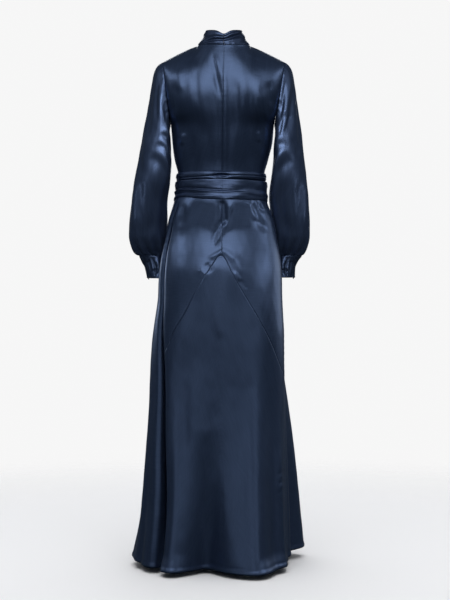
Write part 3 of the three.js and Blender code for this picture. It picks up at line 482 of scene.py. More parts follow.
# The hem kicks out at two places of the back: x and half-width of each.
hemKicks = ((146, 42), (-140, 52))
skirtShape = {
    "swells": ((0.8, 150, 11, 2.2), (0.16, 42, 12, 1.6)), "frontDepth": 0.9, "hipPower": 0.6,
    "sashFade": (458, 474), "swellAcross": 3, "swellFade": (466, 520), "grooveFade": (480, 600),
    "grooveDepth": 15, "grooveHalfTurn": 1.9, "leftCrowding": 1.12, "hemKick": 8, "hemKickReach": 52,
    "hemRoll": 1.6, "hemRollAt": 4, "hemRollWidth": 6, "hemLine": -0.7, "hemLineAt": 15, "hemLineWidth": 2.2,
}
sideSeam = {"seed": 21, "pucker": 0.6}
centreSeam = {"seed": 22, "pucker": 0.15, "dip": 0.05, "reach": 1.2, "spread": 7}
yokeDip = {"seed": 23, "pucker": 0.4, "dip": 0.35, "reach": 1.4}


# One skirt piece. Its form is the body's, moved out by creases, swell, seam dips and a rolled hem.
def makeSkirtPiece(shape, name, node, isBack, shares, levels, grid, flat, area):
    share, level = gridLines(grid, 0, 1)
    if isBack and shares[0] == 0:               # columns lie closer where the left fold is deep
        share = share ** shape["leftCrowding"]
    turn, z = skirtPlaces(mix(*shares, share), mix(*levels, level), isBack)
    base = bodyPoint(turn, z)
    normals = outwardNormals(base, base * heightOnly)
    fromLeft, fromRight, fromTop, fromBottom = edgeDistances(base)
    if isBack:
        move = creaseField(base[..., 0], z, skirtBackCreases)
        facing = np.maximum(np.cos(np.radians(turn)), 0)
        move += tableColumn(hipSlope, "z", "move", z) * facing ** shape["hipPower"]
    else:
        move = creaseField(2 * turn, z, skirtFrontCreases) * shape["frontDepth"]
    move += swell(turn * shape["swellAcross"], z, shape["swells"]) * softStep(-z, *shape["swellFade"])
    apart = turnApart(turn, tableColumn(groove, "z", "turn", z))
    deepening = softStep(-z, *shape["grooveFade"])
    move -= shape["grooveDepth"] * bell(apart, shape["grooveHalfTurn"]) * deepening
    under = softStep(-z, *shape["sashFade"])          # nothing moves where the sash lies over the skirt
    move *= under
    move += seamDip(fromLeft, z, **(sideSeam if shares[0] == 0 else centreSeam)) * under
    move += seamDip(fromRight, z, **(sideSeam if shares[1] == 1 else centreSeam)) * under
    if levels == (0, 1):
        move += seamDip(fromBottom, fromLeft, **yokeDip)
    if levels == (1, 2):
        move += seamDip(fromTop, fromLeft, **yokeDip)
    if levels[1] == 2:
        move += shape["hemRoll"] * bell(fromBottom - shape["hemRollAt"], shape["hemRollWidth"])
        move += shape["hemLine"] * bell(fromBottom - shape["hemLineAt"], shape["hemLineWidth"])
    if levels[1] == 2 and isBack:
        kicks = sum(bell(base[..., 0] - x, halfWidth) for x, halfWidth in hemKicks)
        move += shape["hemKick"] * (1 - softStep(fromBottom, 0, shape["hemKickReach"])) * kicks
    clothPiece(name, node, "satin_skirt", base + normals * move[..., None], fromLeft, fromTop, normals)


skirtPieces = named("name node isBack shares levels grid flat area", (
    ("skirtYokeLeft", "skirt_back_yoke_left", True, (0, centreShare), (0, 1), (84, 104),
     (0.21, 0.52), 0.066),
    ("skirtYokeRight", "skirt_back_yoke_right", True, (centreShare, 1), (0, 1), (96, 110),
     (0.25, 0.58), 0.092),
    ("skirtBackPanel", "skirt_back_panel", True, (0, 1), (1, 2), (150, 170), (0.58, 0.92), 0.345),
    ("skirtFront", "skirt_front", False, (0, 1), (0, 2), (190, 194), (1.10, 1.12), 0.78)))
for row in skirtPieces:
    makeSkirtPiece(skirtShape, **row)
print("skirt made")

# Creases of the bodice, back and front, in x and z.
bodiceBackCreases = (
    (27, -38, 2, -158, 3, -2.6, 7, 1.3), (16, -44, -6, -120, 2, 1.8, 7, 1.3),
    (20, -100, 3, -170, 2, -1.4, 6), (3, -150, 2, -400, 1, -2.0, 6, 1.3),
    (-9, -78, -8, -390, -1, 2.8, 8, 1.3), (74, -80, 70, -190, 3, -2.0, 11, 1.3),
    (48, -90, 52, -260, -2, 1.4, 14), (104, -110, 96, -260, 3, -2.0, 15),
    (-38, -110, -42, -240, -3, -2.4, 11, 1.3), (-62, -96, -60, -220, 2, 1.4, 13),
    (-84, -130, -82, -365, 3, -3.6, 9, 1.4), (-108, -110, -104, -240, 2, 2.2, 12),
    (-138, -120, -150, -190, 4, -3.6, 11), (-118, -150, -130, -230, 5, 1.8, 10),
    (138, -120, 146, -220, -4, -3.0, 12), (124, -80, 118, -150, 3, 1.8, 11),
    (112, -230, 84, -372, -6, -2.8, 14, 1.3), (-112, -240, -96, -370, 6, -2.8, 12, 1.3),
    (52, -240, 40, -372, -4, -1.6, 16), (-44, -250, -36, -372, 3, 1.4, 15),
    (110, -268, 116, -300, 1, 2.6, 6), (-106, -262, -110, -292, 1, 2.4, 6),
)
bodiceFrontCreases = (
    (-90, -250, -60, -374, 4, -3.0, 12, 1.3), (88, -250, 62, -374, -4, -3.0, 12),
    (-30, -290, -22, -376, 2, -2.2, 10), (34, -280, 26, -376, -2, 2.4, 11),
    (-128, -250, -98, -372, 4, 2.2, 11), (126, -250, 100, -372, -4, 2.0, 12),
    (-128, -130, -106, -226, 5, -3.0, 11, 1.3), (126, -130, 104, -226, -5, -2.8, 11),
    (-58, -90, -72, -190, 4, -1.8, 12), (56, -90, 70, -190, -4, -1.6, 12), (0, -70, 6, -230, 3, 1.4, 12),
)
bodiceShape = {
    "swells": ((0.5, 110, 31, 1.8), (0.10, 34, 32, 1.4)), "sideFade": 14, "topFade": 12,
    "sashFade": (-405, -376), "topLevel": 0.0004, "passes": 90, "chestRoundness": 0.9,
}
zipSeam = {"seed": 33, "pucker": 0.15, "dip": 0.12, "reach": 1.5, "spread": 9}
armSeam = {"seed": 34, "pucker": 0.35, "dip": 0.8, "reach": 2.4}


# Neck seam: quarter ellipses back and front, its height falling with the square of the cosine.
def neckPoint(angle, side):
    sine, cosine = np.sin(np.radians(angle)), np.cos(np.radians(angle))
    reach = np.where(cosine > 0, neck["reachBack"], neck["reachFront"])
    lowest = np.where(cosine > 0, neck["backZ"], neck["frontZ"])
    return (neck["midX"] + side * neck["halfWidth"] * sine, neck["midY"] + reach * cosine,
            lowest * cosine * cosine)


# Bodice surface at u (-1 right edge, 0 centre, 1 left edge) and v (0 top, 1 underarm, 2 waist): a blend from
# the top edge to the underarm level that bulges out by the sine of pi v, then the body's own ellipses.
def bodicePoint(u, v, isBack):
    u, v = np.broadcast_arrays(np.asarray(u, float), np.asarray(v, float))
    side, share = np.where(u < 0, -1.0, 1.0), np.abs(u)
    turn = 90 * u if isBack else 180 - 90 * u
    lower = bodyPoint(turn, mix(armhole["lowZ"], waistZ, np.clip(v - 1, 0, 1)))
    neckAngle = 90 * np.clip(share / shoulder["neckShare"], 0, 1)
    neckX, neckY, neckZ = neckPoint(neckAngle if isBack else 180 - neckAngle, side)
    along = np.clip((share - shoulder["neckShare"]) / (1 - shoulder["neckShare"]), 0, 1)
    onNeck = share < shoulder["neckShare"]
    topX = np.where(onNeck, neckX, neck["midX"] + side * mix(neck["halfWidth"], armhole["topHalf"], along))
    topY = np.where(onNeck, neckY, neck["midY"] * (1 - along))
    slope = np.where(side > 0, shoulder["slopeLeft"], shoulder["slopeRight"])
    topZ = np.where(onNeck, neckZ, armhole["topZ"] * along ** slope)
    low = bodyPoint(turn, armhole["lowZ"])
    level = np.clip(v, 0, 1)
    angle = share * math.pi / 2
    rounded = (1 - np.cos(math.pi * level)) / 2
    half = mix(armhole["topHalf"], armhole["lowHalf"], rounded)
    lean = mix(armhole["topLean"], armhole["lowLean"], rounded)
    topShare = np.abs(topX - neck["midX"]) / armhole["topHalf"]
    x = lean + side * half * mix(topShare, np.sin(angle), np.sin(level * math.pi / 2))
    reach = armhole["blade"] if isBack else armhole["chest"]
    roundness = blade["roundness"] if isBack else bodiceShape["chestRoundness"]
    middle = armhole["reach"] + (reach - armhole["reach"]) * np.maximum(np.cos(angle), 0) ** roundness
    bulge = np.maximum(np.sin(math.pi * level), 0) ** (mix(blade["rise"], 1, share ** 2) if isBack else 1)
    y = mix(topY, low[..., 1], level) + ((1 if isBack else -1) * middle - (topY + low[..., 1]) / 2) * bulge
    z = mix(topZ, low[..., 2], mix(level, rounded, share ** 1.5))
    upper = np.stack([x, y, z], axis=-1)
    return np.where((v > 1)[..., None], lower, upper)


# The back or the front: the evened surface moved out by creases, swell and seam dips, then cut into its
# pieces. A piece is a name, its node and its first and last column.
def makeBodiceSide(shape, isBack, grid, pieces):
    u, share = gridLines(grid, -1, 1)
    base = evened(bodicePoint(u, mix(shape["topLevel"], 2, share), isBack), shape["passes"])
    normals = outwardNormals(base, base * heightOnly)
    fromLeft, fromRight, fromTop, fromBottom = edgeDistances(base)
    x, z = base[..., 0], base[..., 2]
    move = creaseField(x, z, bodiceBackCreases if isBack else bodiceFrontCreases)
    move += swell(x, z, shape["swells"])
    armSide = np.minimum(fromLeft, fromRight)
    move *= softStep(armSide, 0, shape["sideFade"]) * softStep(fromTop, 0, shape["topFade"])
    if isBack:
        move += seamDip(np.abs(fromLeft - fromLeft[:, [grid[0] // 2]]), z, **zipSeam)
    move *= softStep(z, *shape["sashFade"])       # nothing moves where the sash lies over the waist
    move += seamDip(armSide, z, **armSeam)
    points = base + normals * move[..., None]
    for name, node, first, last in pieces:
        cut = slice(first, last + 1)
        clothPiece(name, node, "satin_bodice", points[:, cut], fromLeft[:, cut], fromTop[:, cut],
                   normals[:, cut])


backPieces = (("bodiceBackRight", "bodice_back_right", 0, 91),
              ("bodiceBackLeft", "bodice_back_left", 91, 182))
frontPieces = (("bodiceFront", "bodice_front", 0, 150),)
makeBodiceSide(bodiceShape, True, (183, 150), backPieces)
makeBodiceSide(bodiceShape, False, (151, 120), frontPieces)
print("bodice made")

# Rings of the sleeves, from the shoulder down to the cuff: outer and inner point, middle and reach in y.
ringColumns = "outX outZ inX inZ midY reach"
sleeveRings = {
    "left": named(ringColumns, (
    (174, -49, 150.5, -236, 0, 58), (191, -61, 152.5, -241, 0, 60), (203.5, -85, 153.2, -247.5, -1, 61),
    (211.5, -128, 153.4, -256, -2, 60.5), (221, -187, 152.8, -269, -3, 59),
    (232, -246, 150.8, -289, -3, 58), (242.5, -299, 149.5, -316, -3, 57), (251, -350, 148.2, -352, -5, 56),
    (262, -402, 152.5, -402, -13, 56), (269, -452, 161, -450, -27, 57), (276, -503, 163, -500, -44, 58.5),
    (279, -538, 163.5, -536, -57, 59), (279, -566, 163, -565, -67, 57.5), (271, -591, 163, -591, -76, 52),
    (262.5, -606, 163.5, -606, -81, 44), (248, -616.9, 164.3, -616.9, -84, 37),
    )),
    "right": named(ringColumns, (
    (-185.2, -49, -153.5, -236, 0, 58), (-199, -60, -155.5, -241, 0, 60),
    (-211, -82, -156.2, -247.5, -1, 61), (-219, -128, -156.4, -256, -2, 60.5),
    (-227.5, -187, -155.8, -269, -3, 59), (-235, -246, -153.5, -289, -3, 58),
    (-241, -299, -151.5, -316, -3, 57), (-247, -350, -149.5, -350, -5, 56),
    (-254, -402, -143.5, -399, -13, 56), (-259, -452, -139.5, -447, -27, 57),
    (-263, -503, -146, -499, -44, 58.5), (-264, -538, -149, -535, -57, 59),
    (-263, -566, -150, -564, -67, 57.5), (-255, -591, -151, -591, -76, 52),
    (-247.5, -606, -153, -606, -81, 44), (-239, -616.9, -156, -616.9, -84, 37),
    ))}
for rings in sleeveRings.values():
    for place, ring in enumerate(rings):
        ring["place"] = place

# Creases of a sleeve, in degrees round it (0 back, 90 outer edge, -90 inner edge) and height.
sleeveCreases = {"left": (
    (-20, -268, -84, -326, -14, -3.0, 9, 1.5), (-6, -296, -72, -358, -14, -2.6, 10, 1.5),
    (26, -330, -54, -398, -14, -2.8, 14, 1.3), (-30, -250, -84, -286, -6, 1.8, 10),
    (30, -80, 2, -230, 5, -4.2, 12, 1.3), (58, -100, 30, -270, 6, -4.0, 13),
    (8, -90, -16, -250, 4, 3.4, 12), (-26, -110, -44, -260, -3, -3.8, 11),
    (78, -250, 34, -390, 8, -4.4, 14), (58, -400, 18, -540, 9, 4.2, 16), (34, -400, 2, -550, 6, -3.8, 13),
    (-20, -420, -10, -560, -6, -4.0, 13), (-58, -400, -44, -560, -6, -3.4, 13, 1.3),
    (84, -400, 72, -570, 4, -3.6, 13), (140, -120, 128, -260, 5, -3.8, 13),
    (176, -130, 172, -250, -4, -3.6, 13, 1.3), (206, -280, 150, -340, 9, -5.4, 12),
    (222, -320, 164, -388, 10, -4.8, 13), (190, -400, 176, -550, 5, 3.8, 14),
    (140, -400, 136, -570, 4, -3.8, 14),
), "right": (
    (34, -90, -60, -272, -6, -6.4, 10, 1.4), (48, -96, -30, -258, -5, 3.2, 10),
    (62, -112, 0, -252, -5, -5.4, 9, 1.35), (14, -80, -46, -200, -4, 3.4, 10),
    (-6, -206, -48, -268, -3, -3.6, 8, 1.3), (26, -208, -20, -272, -4, -3.4, 8, 1.3),
    (16, -278, 40, -322, 2, -2.2, 11), (72, -150, 44, -300, 6, -4.0, 13),
    (-24, -290, -80, -344, -8, -2.8, 12, 1.3), (20, -336, -52, -398, -12, -2.8, 14),
    (4, -310, -64, -362, -10, 1.8, 12), (60, -390, 22, -540, 8, 4.2, 15), (34, -400, 6, -550, 6, -3.8, 13),
    (-26, -410, -14, -560, -5, -4.0, 13), (-60, -410, -44, -560, -6, 3.6, 13),
    (86, -390, 76, -570, 4, -3.6, 13), (140, -120, 128, -260, 5, -3.8, 13),
    (180, -130, 174, -250, -4, -3.6, 13, 1.3), (206, -280, 150, -340, 9, -5.2, 12),
    (222, -320, 164, -388, 10, -4.8, 13), (190, -400, 178, -550, 5, 3.8, 14),
    (140, -400, 136, -570, 4, -3.8, 14),
)}
# Gather folds that rise from the cuff: degrees, height above the cuff, depth, half-width in degrees.
gatherFolds = (
    (-164, 62, 2.6, 6.5), (-141, 44, -2.4, 5.5), (-120, 74, 3.0, 6.5), (-97, 50, -2.8, 6),
    (-78, 66, 2.8, 5.5), (-60, 40, -2.6, 5), (-43, 78, 3.0, 6), (-26, 52, -3.0, 5), (-10, 70, 2.8, 5.5),
    (7, 46, -2.8, 5), (24, 84, 3.2, 6), (42, 54, -3.0, 5.5), (60, 72, 2.8, 5.5), (78, 44, -2.6, 5.5),
    (98, 78, 3.0, 6.5), (118, 52, -2.8, 6), (138, 68, 2.8, 6), (158, 46, -2.6, 5.5),
)
sleeveShape = {
    "grid": (168, 184), "crowding": 0.35, "swells": ((1.1, 100, 41, 2.0), (0.3, 32, 42, 1.8)),
    "frontFade": 30, "headFade": 16, "headGap": 0.25, "headHeight": 30,
    "gatherDepth": 1.35, "gatherLean": 0.08, "gatherFade": (0.25, 1.25), "cuffZ": -616.9,
    "seamTurn": -101, "seamDip": 0.7, "seamWidth": 2.2, "lean": {"left": 0.28, "right": 0.38},
    "leanIn": (0, 4), "leanOut": (6.5, 11), "innerFlat": 9, "innerTurn": -60, "innerHalfTurn": 25,
    "flatIn": (60, 150), "flatOut": (290, 480),
}
headSeam = {"seed": 43, "pucker": 0.7, "dip": 0.9}


# Tube surface: middle of the ring plus across times sine and reach times cosine of the angle. The lean
# shears the ring, so that its backmost line lies nearer the inner edge, as on a bent arm.
def sleeveBase(shape, side, angle, place):
    value = {column: tableColumn(sleeveRings[side], "place", column, place) for column in ringColumns.split()}
    sine, cosine = np.sin(np.radians(angle)), np.cos(np.radians(angle))
    x = (value["outX"] + value["inX"]) / 2 + (value["outX"] - value["inX"]) / 2 * sine
    z = (value["outZ"] + value["inZ"]) / 2 + (value["outZ"] - value["inZ"]) / 2 * sine
    bent = softStep(place, *shape["leanIn"]) * (1 - softStep(place, *shape["leanOut"]))
    y = value["midY"] + value["reach"] * (cosine - shape["lean"][side] * bent * sine)
    return np.stack([x, y, z], axis=-1)


# One sleeve: the tube moved out by creases, swell, gathers that grow towards the cuff, and its seam dips.
# Its back is flattened near the inner edge, by a bell round it that fades in and out with height.
def makeSleeve(shape, side, outward):
    angle, share = gridLines(shape["grid"], -180, 180, closed=True)
    last = len(sleeveRings[side]) - 1
    share = share + shape["crowding"] * np.sin(math.pi * share) * share / last
    base = sleeveBase(shape, side, angle, last * np.clip(share, 0, 1))
    z = base[..., 2]
    normals = outwardNormals(base, base.mean(axis=1, keepdims=True), closed=True)
    around, fromHead = runningLength(base, 1), runningLength(base, 0)
    move = sum(creaseField(angle + turned, z, sleeveCreases[side]) for turned in (0, 360))
    move += swell(angle, z, shape["swells"]) * softStep(180 - np.abs(angle), 0, shape["frontFade"])
    above = z - shape["cuffZ"]
    fadeFrom, fadeTo = shape["gatherFade"]
    for turn, length, depth, halfTurn in gatherFolds:
        fold = bell(turnApart(angle, turn + shape["gatherLean"] * above), halfTurn)
        fold *= (1 - softStep(above, fadeFrom * length, fadeTo * length)) * softStep(above, -2, 8)
        move += shape["gatherDepth"] * depth * fold
    move *= softStep(fromHead, 0, shape["headFade"])
    move += seamDip(fromHead, angle, **headSeam)
    move -= shape["seamDip"] * bell(turnApart(angle, shape["seamTurn"]), shape["seamWidth"])
    points = base + normals * move[..., None]
    flattened = softStep(-z, *shape["flatIn"]) * (1 - softStep(-z, *shape["flatOut"]))
    nearInner = bell(angle - shape["innerTurn"], shape["innerHalfTurn"])
    points[..., 1] += shape["innerFlat"] * nearInner * flattened
    points[..., 0] += outward * shape["headGap"] * (fromHead < shape["headHeight"])
    clothPiece("sleeve" + side.capitalize(), "sleeve_" + side, "satin_sleeve", points, around, fromHead,
               normals, closed=True)


cuffColumns = "outX inX midY reach"
cuffRings = {
    "left": named("z " + cuffColumns, (
        (-617, 248, 164.3, -84, 37), (-634, 240, 163, -86.5, 34), (-651, 231, 163, -88.5, 32),
        (-684, 223, 165.5, -92, 31))),
    "right": named("z " + cuffColumns, (
        (-617, -239, -156, -84, 37), (-634, -226, -156, -86.5, 34), (-651, -219, -156.5, -88.5, 32),
        (-682, -217, -157, -92, 31)))}
cuffShape = {"grid": (150, 40), "lapTurn": 26, "rise": 3.2, "riseGrowth": 0.36, "startTurn": 96,
             "cornerDrop": 4.0, "cornerTurns": (372, 386), "swells": ((0.35, 40, 51, 0.6),), "topFade": 6,
             "lineDepth": 0.5, "lineAt": 6, "lineWidth": 1.2, "thickness": 1.2}
cuffSeam = {"seed": 52, "pucker": 0.5, "dip": 0.8, "reach": 2.0, "spread": 7}
# Creases of a cuff, in degrees round it and height.
cuffCreases = (
    (120, -640, 200, -656, 3, -2.2, 5, 1.3), (240, -632, 330, -650, -3, 2.0, 6),
    (300, -660, 400, -668, 2, -2.0, 5), (380, -634, 450, -650, 3, -2.4, 5),
    (340, -624, 352, -676, 2, 2.4, 8), (366, -626, 372, -680, -2, -2.6, 6),
    (394, -622, 404, -668, 2, 2.2, 7), (420, -630, 432, -682, -2, -2.4, 6),
    (150, -626, 158, -676, 2, -2.0, 7), (206, -628, 214, -678, 2, 2.0, 8),
    (268, -626, 276, -676, -2, -2.0, 7),
)


# One cuff: a band that runs a little past a full turn, its last stretch lifted over the first. A line of
# sewing runs inside its lower and lapping edges.
def makeCuff(shape, side, outward):
    turned, down = gridLines(shape["grid"], 0, 360 + shape["lapTurn"])
    angle = shape["startTurn"] + turned
    rings = cuffRings[side]
    z = mix(rings[0]["z"], rings[-1]["z"], down)
    lapping = softStep(turned, 360 - shape["lapTurn"], 360)
    rise = shape["rise"] * lapping * (1 + shape["riseGrowth"] * down)
    sine, cosine = np.sin(np.radians(angle)), np.cos(np.radians(angle))
    value = {column: tableColumn(rings, "z", column, z) for column in cuffColumns.split()}
    half = (value["outX"] - value["inX"]) / 2
    x = (value["outX"] + value["inX"]) / 2 + (half + outward * rise) * sine
    y = value["midY"] + (value["reach"] + rise) * cosine
    corner = shape["cornerDrop"] * lapping * down * softStep(turned, *shape["cornerTurns"])
    base = np.stack([x, y, z - corner], axis=-1)
    normals = outwardNormals(base, base.mean(axis=1, keepdims=True))
    fromLeft, fromRight, fromTop, fromBottom = edgeDistances(base)
    move = creaseField(angle, z, cuffCreases) + swell(angle, z, shape["swells"])
    move *= softStep(fromTop, 0, shape["topFade"])
    move += seamDip(fromTop, angle, **cuffSeam)
    for distance in (fromBottom, fromRight):
        move -= shape["lineDepth"] * bell(distance - shape["lineAt"], shape["lineWidth"])
    clothPiece("cuff" + side.capitalize(), "cuff_" + side, "satin_cuff", base + normals * move[..., None],
               fromLeft, fromTop, normals, thickness=shape["thickness"])


makeSleeve(sleeveShape, "left", 1)
makeSleeve(sleeveShape, "right", -1)
makeCuff(cuffShape, "left", 1)
makeCuff(cuffShape, "right", -1)
print("sleeves and cuffs made")

collarShape = {
    "grid": (220, 44), "height": 43, "topHalfWidth": 53.5, "topReachBack": 55, "topReachFront": 52,
    "notchDepth": 10, "notchHalfTurn": 16, "opening": 0.03, "baseZ": 0.4, "roundLean": 0.35,
    "swells": ((0.5, 46, 61, 0.5),), "seamPace": 1.1,
    "foldWave": 0.05, "foldSpacing": 1.1, "edgePower": 0.6, "edgeRoll": 1.2, "edgeWidth": 3, "thickness": 1.4,
}
neckSeam = {"seed": 62, "pucker": 0.5, "dip": 0.9, "reach": 2.2, "spread": 8}
# Folds that wind up the collar: share of the height at centre back, slope a degree, depth, half-width.
collarFolds = ((0.20, 0.0052, 2.6, 0.14), (0.62, 0.0064, 3.0, 0.15), (0.42, 0.0058, -2.4, 0.09))


# The collar: a band from the neck seam that leans in to its top edge, notched at centre back. Each fold comes
# round again, a spacing lower, when it has wound out over an edge.
def makeCollar(shape):
    angle, share = gridLines(shape["grid"], shape["opening"], 360 - shape["opening"])
    side = np.where(angle > 180, -1.0, 1.0)
    sideAngle = np.where(angle > 180, 360 - angle, angle)
    sine, cosine = np.sin(np.radians(sideAngle)), np.cos(np.radians(sideAngle))
    neckX, neckY, neckZ = neckPoint(sideAngle, side)
    topX = neck["midX"] + side * shape["topHalfWidth"] * sine
    topY = neck["midY"] + np.where(cosine > 0, shape["topReachBack"], shape["topReachFront"]) * cosine
    lean = mix(share, np.sin(share * math.pi / 2), shape["roundLean"])
    height = shape["height"] - shape["notchDepth"] * bell(sideAngle, shape["notchHalfTurn"])
    base = np.stack([mix(neckX, topX, lean), mix(neckY, topY, lean),
                     neckZ + shape["baseZ"] + height * share], axis=-1)
    normals = outwardNormals(base, base.mean(axis=1, keepdims=True))
    fromLeft, fromRight, fromTop, fromBottom = edgeDistances(base)
    spacing = shape["foldSpacing"]
    move = swell(angle, share * shape["height"], shape["swells"])
    for start, slope, depth, width in collarFolds:
        wave = shape["foldWave"] * np.sin(np.radians(3 * angle + 90 * start))
        centre = start - slope * side * sideAngle + wave
        centre = centre + spacing * np.round((0.5 - centre) / spacing)
        move = move + depth * bell(share - centre, width)
    move *= np.sin(math.pi * share) ** shape["edgePower"]
    move += seamDip(fromTop, angle * shape["seamPace"], **neckSeam)
    move += shape["edgeRoll"] * bell(fromBottom, shape["edgeWidth"])
    clothPiece("collarBand", "collar", "satin_collar", base + normals * move[..., None], fromLeft, fromTop,
               normals, thickness=shape["thickness"])


makeCollar(collarShape)
print("collar made")

bandShape = {"grid": (300, 44), "bottomZ": -461, "topZ": -402.5, "topWave": 1.2, "liftTurn": 58,
             "liftHalfTurn": 30, "lift": 10, "stand": 1.6, "topStand": 7.5, "edgeRound": 1.6,
             "edgeWidth": 3.0, "clothWidth": 60, "swells": ((0.35, 46, 71, 0.5),), "edgePower": 0.35,
             "seamDip": 0.9, "seamHalfTurn": 0.8, "foldPast": 0.08, "foldWithin": 0.2, "foldWave": 0.03,
             "foldPace": 5, "swellAcross": 2}
# Folds along the band: turn and share of the height where each starts and ends, depth, half-width.
bandFolds = (
    (-30, 0.62, 104, 0.56, 3.0, 0.07), (-30, 0.54, 104, 0.47, -2.4, 0.05), (-34, 0.84, 70, 0.86, 2.0, 0.09),
    (-84, 0.30, 60, 0.24, 1.6, 0.16), (20, 0.72, 112, 0.82, -2.6, 0.07), (-100, 0.66, -24, 0.60, 1.4, 0.10),
    (80, 0.18, 200, 0.30, 2.0, 0.10), (110, 0.70, 250, 0.62, 2.2, 0.11), (190, 0.30, 280, 0.22, 1.8, 0.09),
    (130, 0.48, 240, 0.46, -1.8, 0.07), (250, 0.78, 330, 0.66, 1.6, 0.09),
)
wrapShape = {"grid": (300, 34), "bottomZ": -400.4, "topZ": -378, "topWave": 1.2, "stand": 4.2, "roll": 4.6,
             "rollPower": 0.7, "rollChange": 0.2, "hollowTurn": 2, "hollowHalfTurn": 10, "grooveDepth": 1.6,
             "hollowDepth": 5.0, "grooveWidth": 0.08, "hollowWidth": 0.14, "clothWidth": 30, "lineAt": 0.62,
             "lineWave": 0.12, "linePace": 1.6, "linePhase": 10}
# The two lips of the wrap's hollow: depth, share of the height below the groove, and half-width.
wrapLips = ((1.6, 0.30, 0.08), (1.4, -0.34, 0.09))
sashThickness = 1.2


# Points of the body moved out level, by a stand-off, so that a piece lies on it.
def layered(turn, z, stand):
    base = bodyPoint(turn, z)
    step = bodyPoint(turn + 0.5, z) - bodyPoint(turn - 0.5, z)
    outward = unit(np.stack([-step[..., 1], step[..., 0], 0 * step[..., 0]], axis=-1))
    facing = np.sum(outward * base * (1 - heightOnly), axis=-1, keepdims=True)
    outward = outward * np.sign(facing)
    return base + outward * np.asarray(stand)[..., None], outward


# Relief of folds that run along the band: a bell across each one's slanting, waving line, faded at its ends.
def bandRelief(shape, turn, share, folds):
    total = np.zeros(np.broadcast(turn, share).shape)
    for fromTurn, fromShare, toTurn, toShare, depth, width in folds:
        for around in (-360, 0, 360):
            along = (turn + around - fromTurn) / (toTurn - fromTurn)
            wave = shape["foldWave"] * np.sin(along * shape["foldPace"] + fromTurn)
            centre = mix(fromShare, toShare, along) + wave
            fade = endFade(along, shape["foldPast"], shape["foldWithin"])
            total += depth * fade * bell(share - centre, width)
    return total


# Main band: wrapped cloth with long folds, a lifted lower edge at the left and a sewn line at centre back.
def makeBand(shape):
    turn, share = gridLines(shape["grid"], -180, 180, closed=True)
    lower = shape["bottomZ"] + shape["lift"] * bell(turn - shape["liftTurn"], shape["liftHalfTurn"])
    upper = shape["topZ"] + shape["topWave"] * np.sin(np.radians(2 * turn + 40))
    z = mix(upper, lower, share)
    relief = bandRelief(shape, turn, share, bandFolds)
    relief += swell(turn * shape["swellAcross"], z, shape["swells"])
    relief *= np.sin(math.pi * share) ** shape["edgePower"]
    fromEdge = np.minimum(share, 1 - share) * shape["clothWidth"]
    rounded = shape["edgeRound"] * (1 - np.exp(-fromEdge / shape["edgeWidth"]))
    upright = shape["topStand"] * (1 - share)      # the wound cloth stands upright over the narrow waist
    seam = -shape["seamDip"] * bell(turn, shape["seamHalfTurn"])
    points, outward = layered(turn, z, shape["stand"] + rounded + upright + relief + seam)
    clothPiece("sashBand", "sash_band", "satin_sash", points, share * shape["clothWidth"],
               runningLength(points, 1), outward, closed=True,
               thickness=sashThickness)


# Upper wrap: a twisted second turn with a groove along it that opens into a leaf-shaped hollow at the back.
def makeWrap(shape):
    turn, share = gridLines(shape["grid"], -180, 180, closed=True)
    z = mix(shape["topZ"], shape["bottomZ"], share)
    z = z + shape["topWave"] * np.sin(np.radians(2 * turn + 60)) * (1 - share)
    change = shape["rollChange"] * (np.cos(np.radians(3 * turn)) - 1)
    relief = shape["roll"] * np.sin(math.pi * share) ** shape["rollPower"] * (1 + change)
    hollow = bell(turn - shape["hollowTurn"], shape["hollowHalfTurn"])
    wave = np.sin(np.radians(shape["linePace"] * turn + shape["linePhase"]))
    line = shape["lineAt"] + shape["lineWave"] * wave           # share of the height where the groove runs
    depth = shape["grooveDepth"] + shape["hollowDepth"] * hollow
    relief -= depth * bell(share - line, shape["grooveWidth"] + shape["hollowWidth"] * hollow)
    for lipDepth, below, width in wrapLips:
        relief += lipDepth * bell(share - line - below, width) * hollow
    points, outward = layered(turn, z, shape["stand"] + relief)
    clothPiece("sashUpperWrap", "sash_upper_wrap", "satin_sash", points, share * shape["clothWidth"],
               runningLength(points, 1), outward, closed=True,
               thickness=sashThickness)


knotShape = {"grid": (60, 60), "turn": 113, "z": -436, "halfTurn": 9.5, "halfHeight": 23, "thickness": 9.5,
             "stand": 4.6, "pinch": 0.12, "waist": 0.10}
# Folds of the knot: slope, place across, depth as a share and half-width of each.
knotFolds = ((0.5, 0, 0.30, 0.14), (0.5, -0.55, 0.22, 0.10), (0.6, 0.6, 0.20, 0.10))


# Knot: a rounded lump of cloth with folds that run slanting across it.
def makeKnot(shape):
    a, share = gridLines(shape["grid"], -1, 1)
    b = 2 * share - 1
    turn = shape["turn"] + shape["halfTurn"] * a * (1 - shape["pinch"] * b * b)
    z = shape["z"] - shape["halfHeight"] * b * (1 - shape["waist"] * a * a)
    dome = np.sqrt(np.maximum(0, 1 - a ** 4)) * np.sqrt(np.maximum(0, 1 - b ** 4))
    folded = 1 - sum(depth * bell(a + slope * b + across, width) for slope, across, depth, width in knotFolds)
    points, outward = layered(turn, z, shape["stand"] + shape["thickness"] * dome * folded)
    clothPiece("sashKnot", "sash_knot", "satin_sash", points, runningLength(points, 1),
               runningLength(points, 0), outward, thickness=sashThickness)


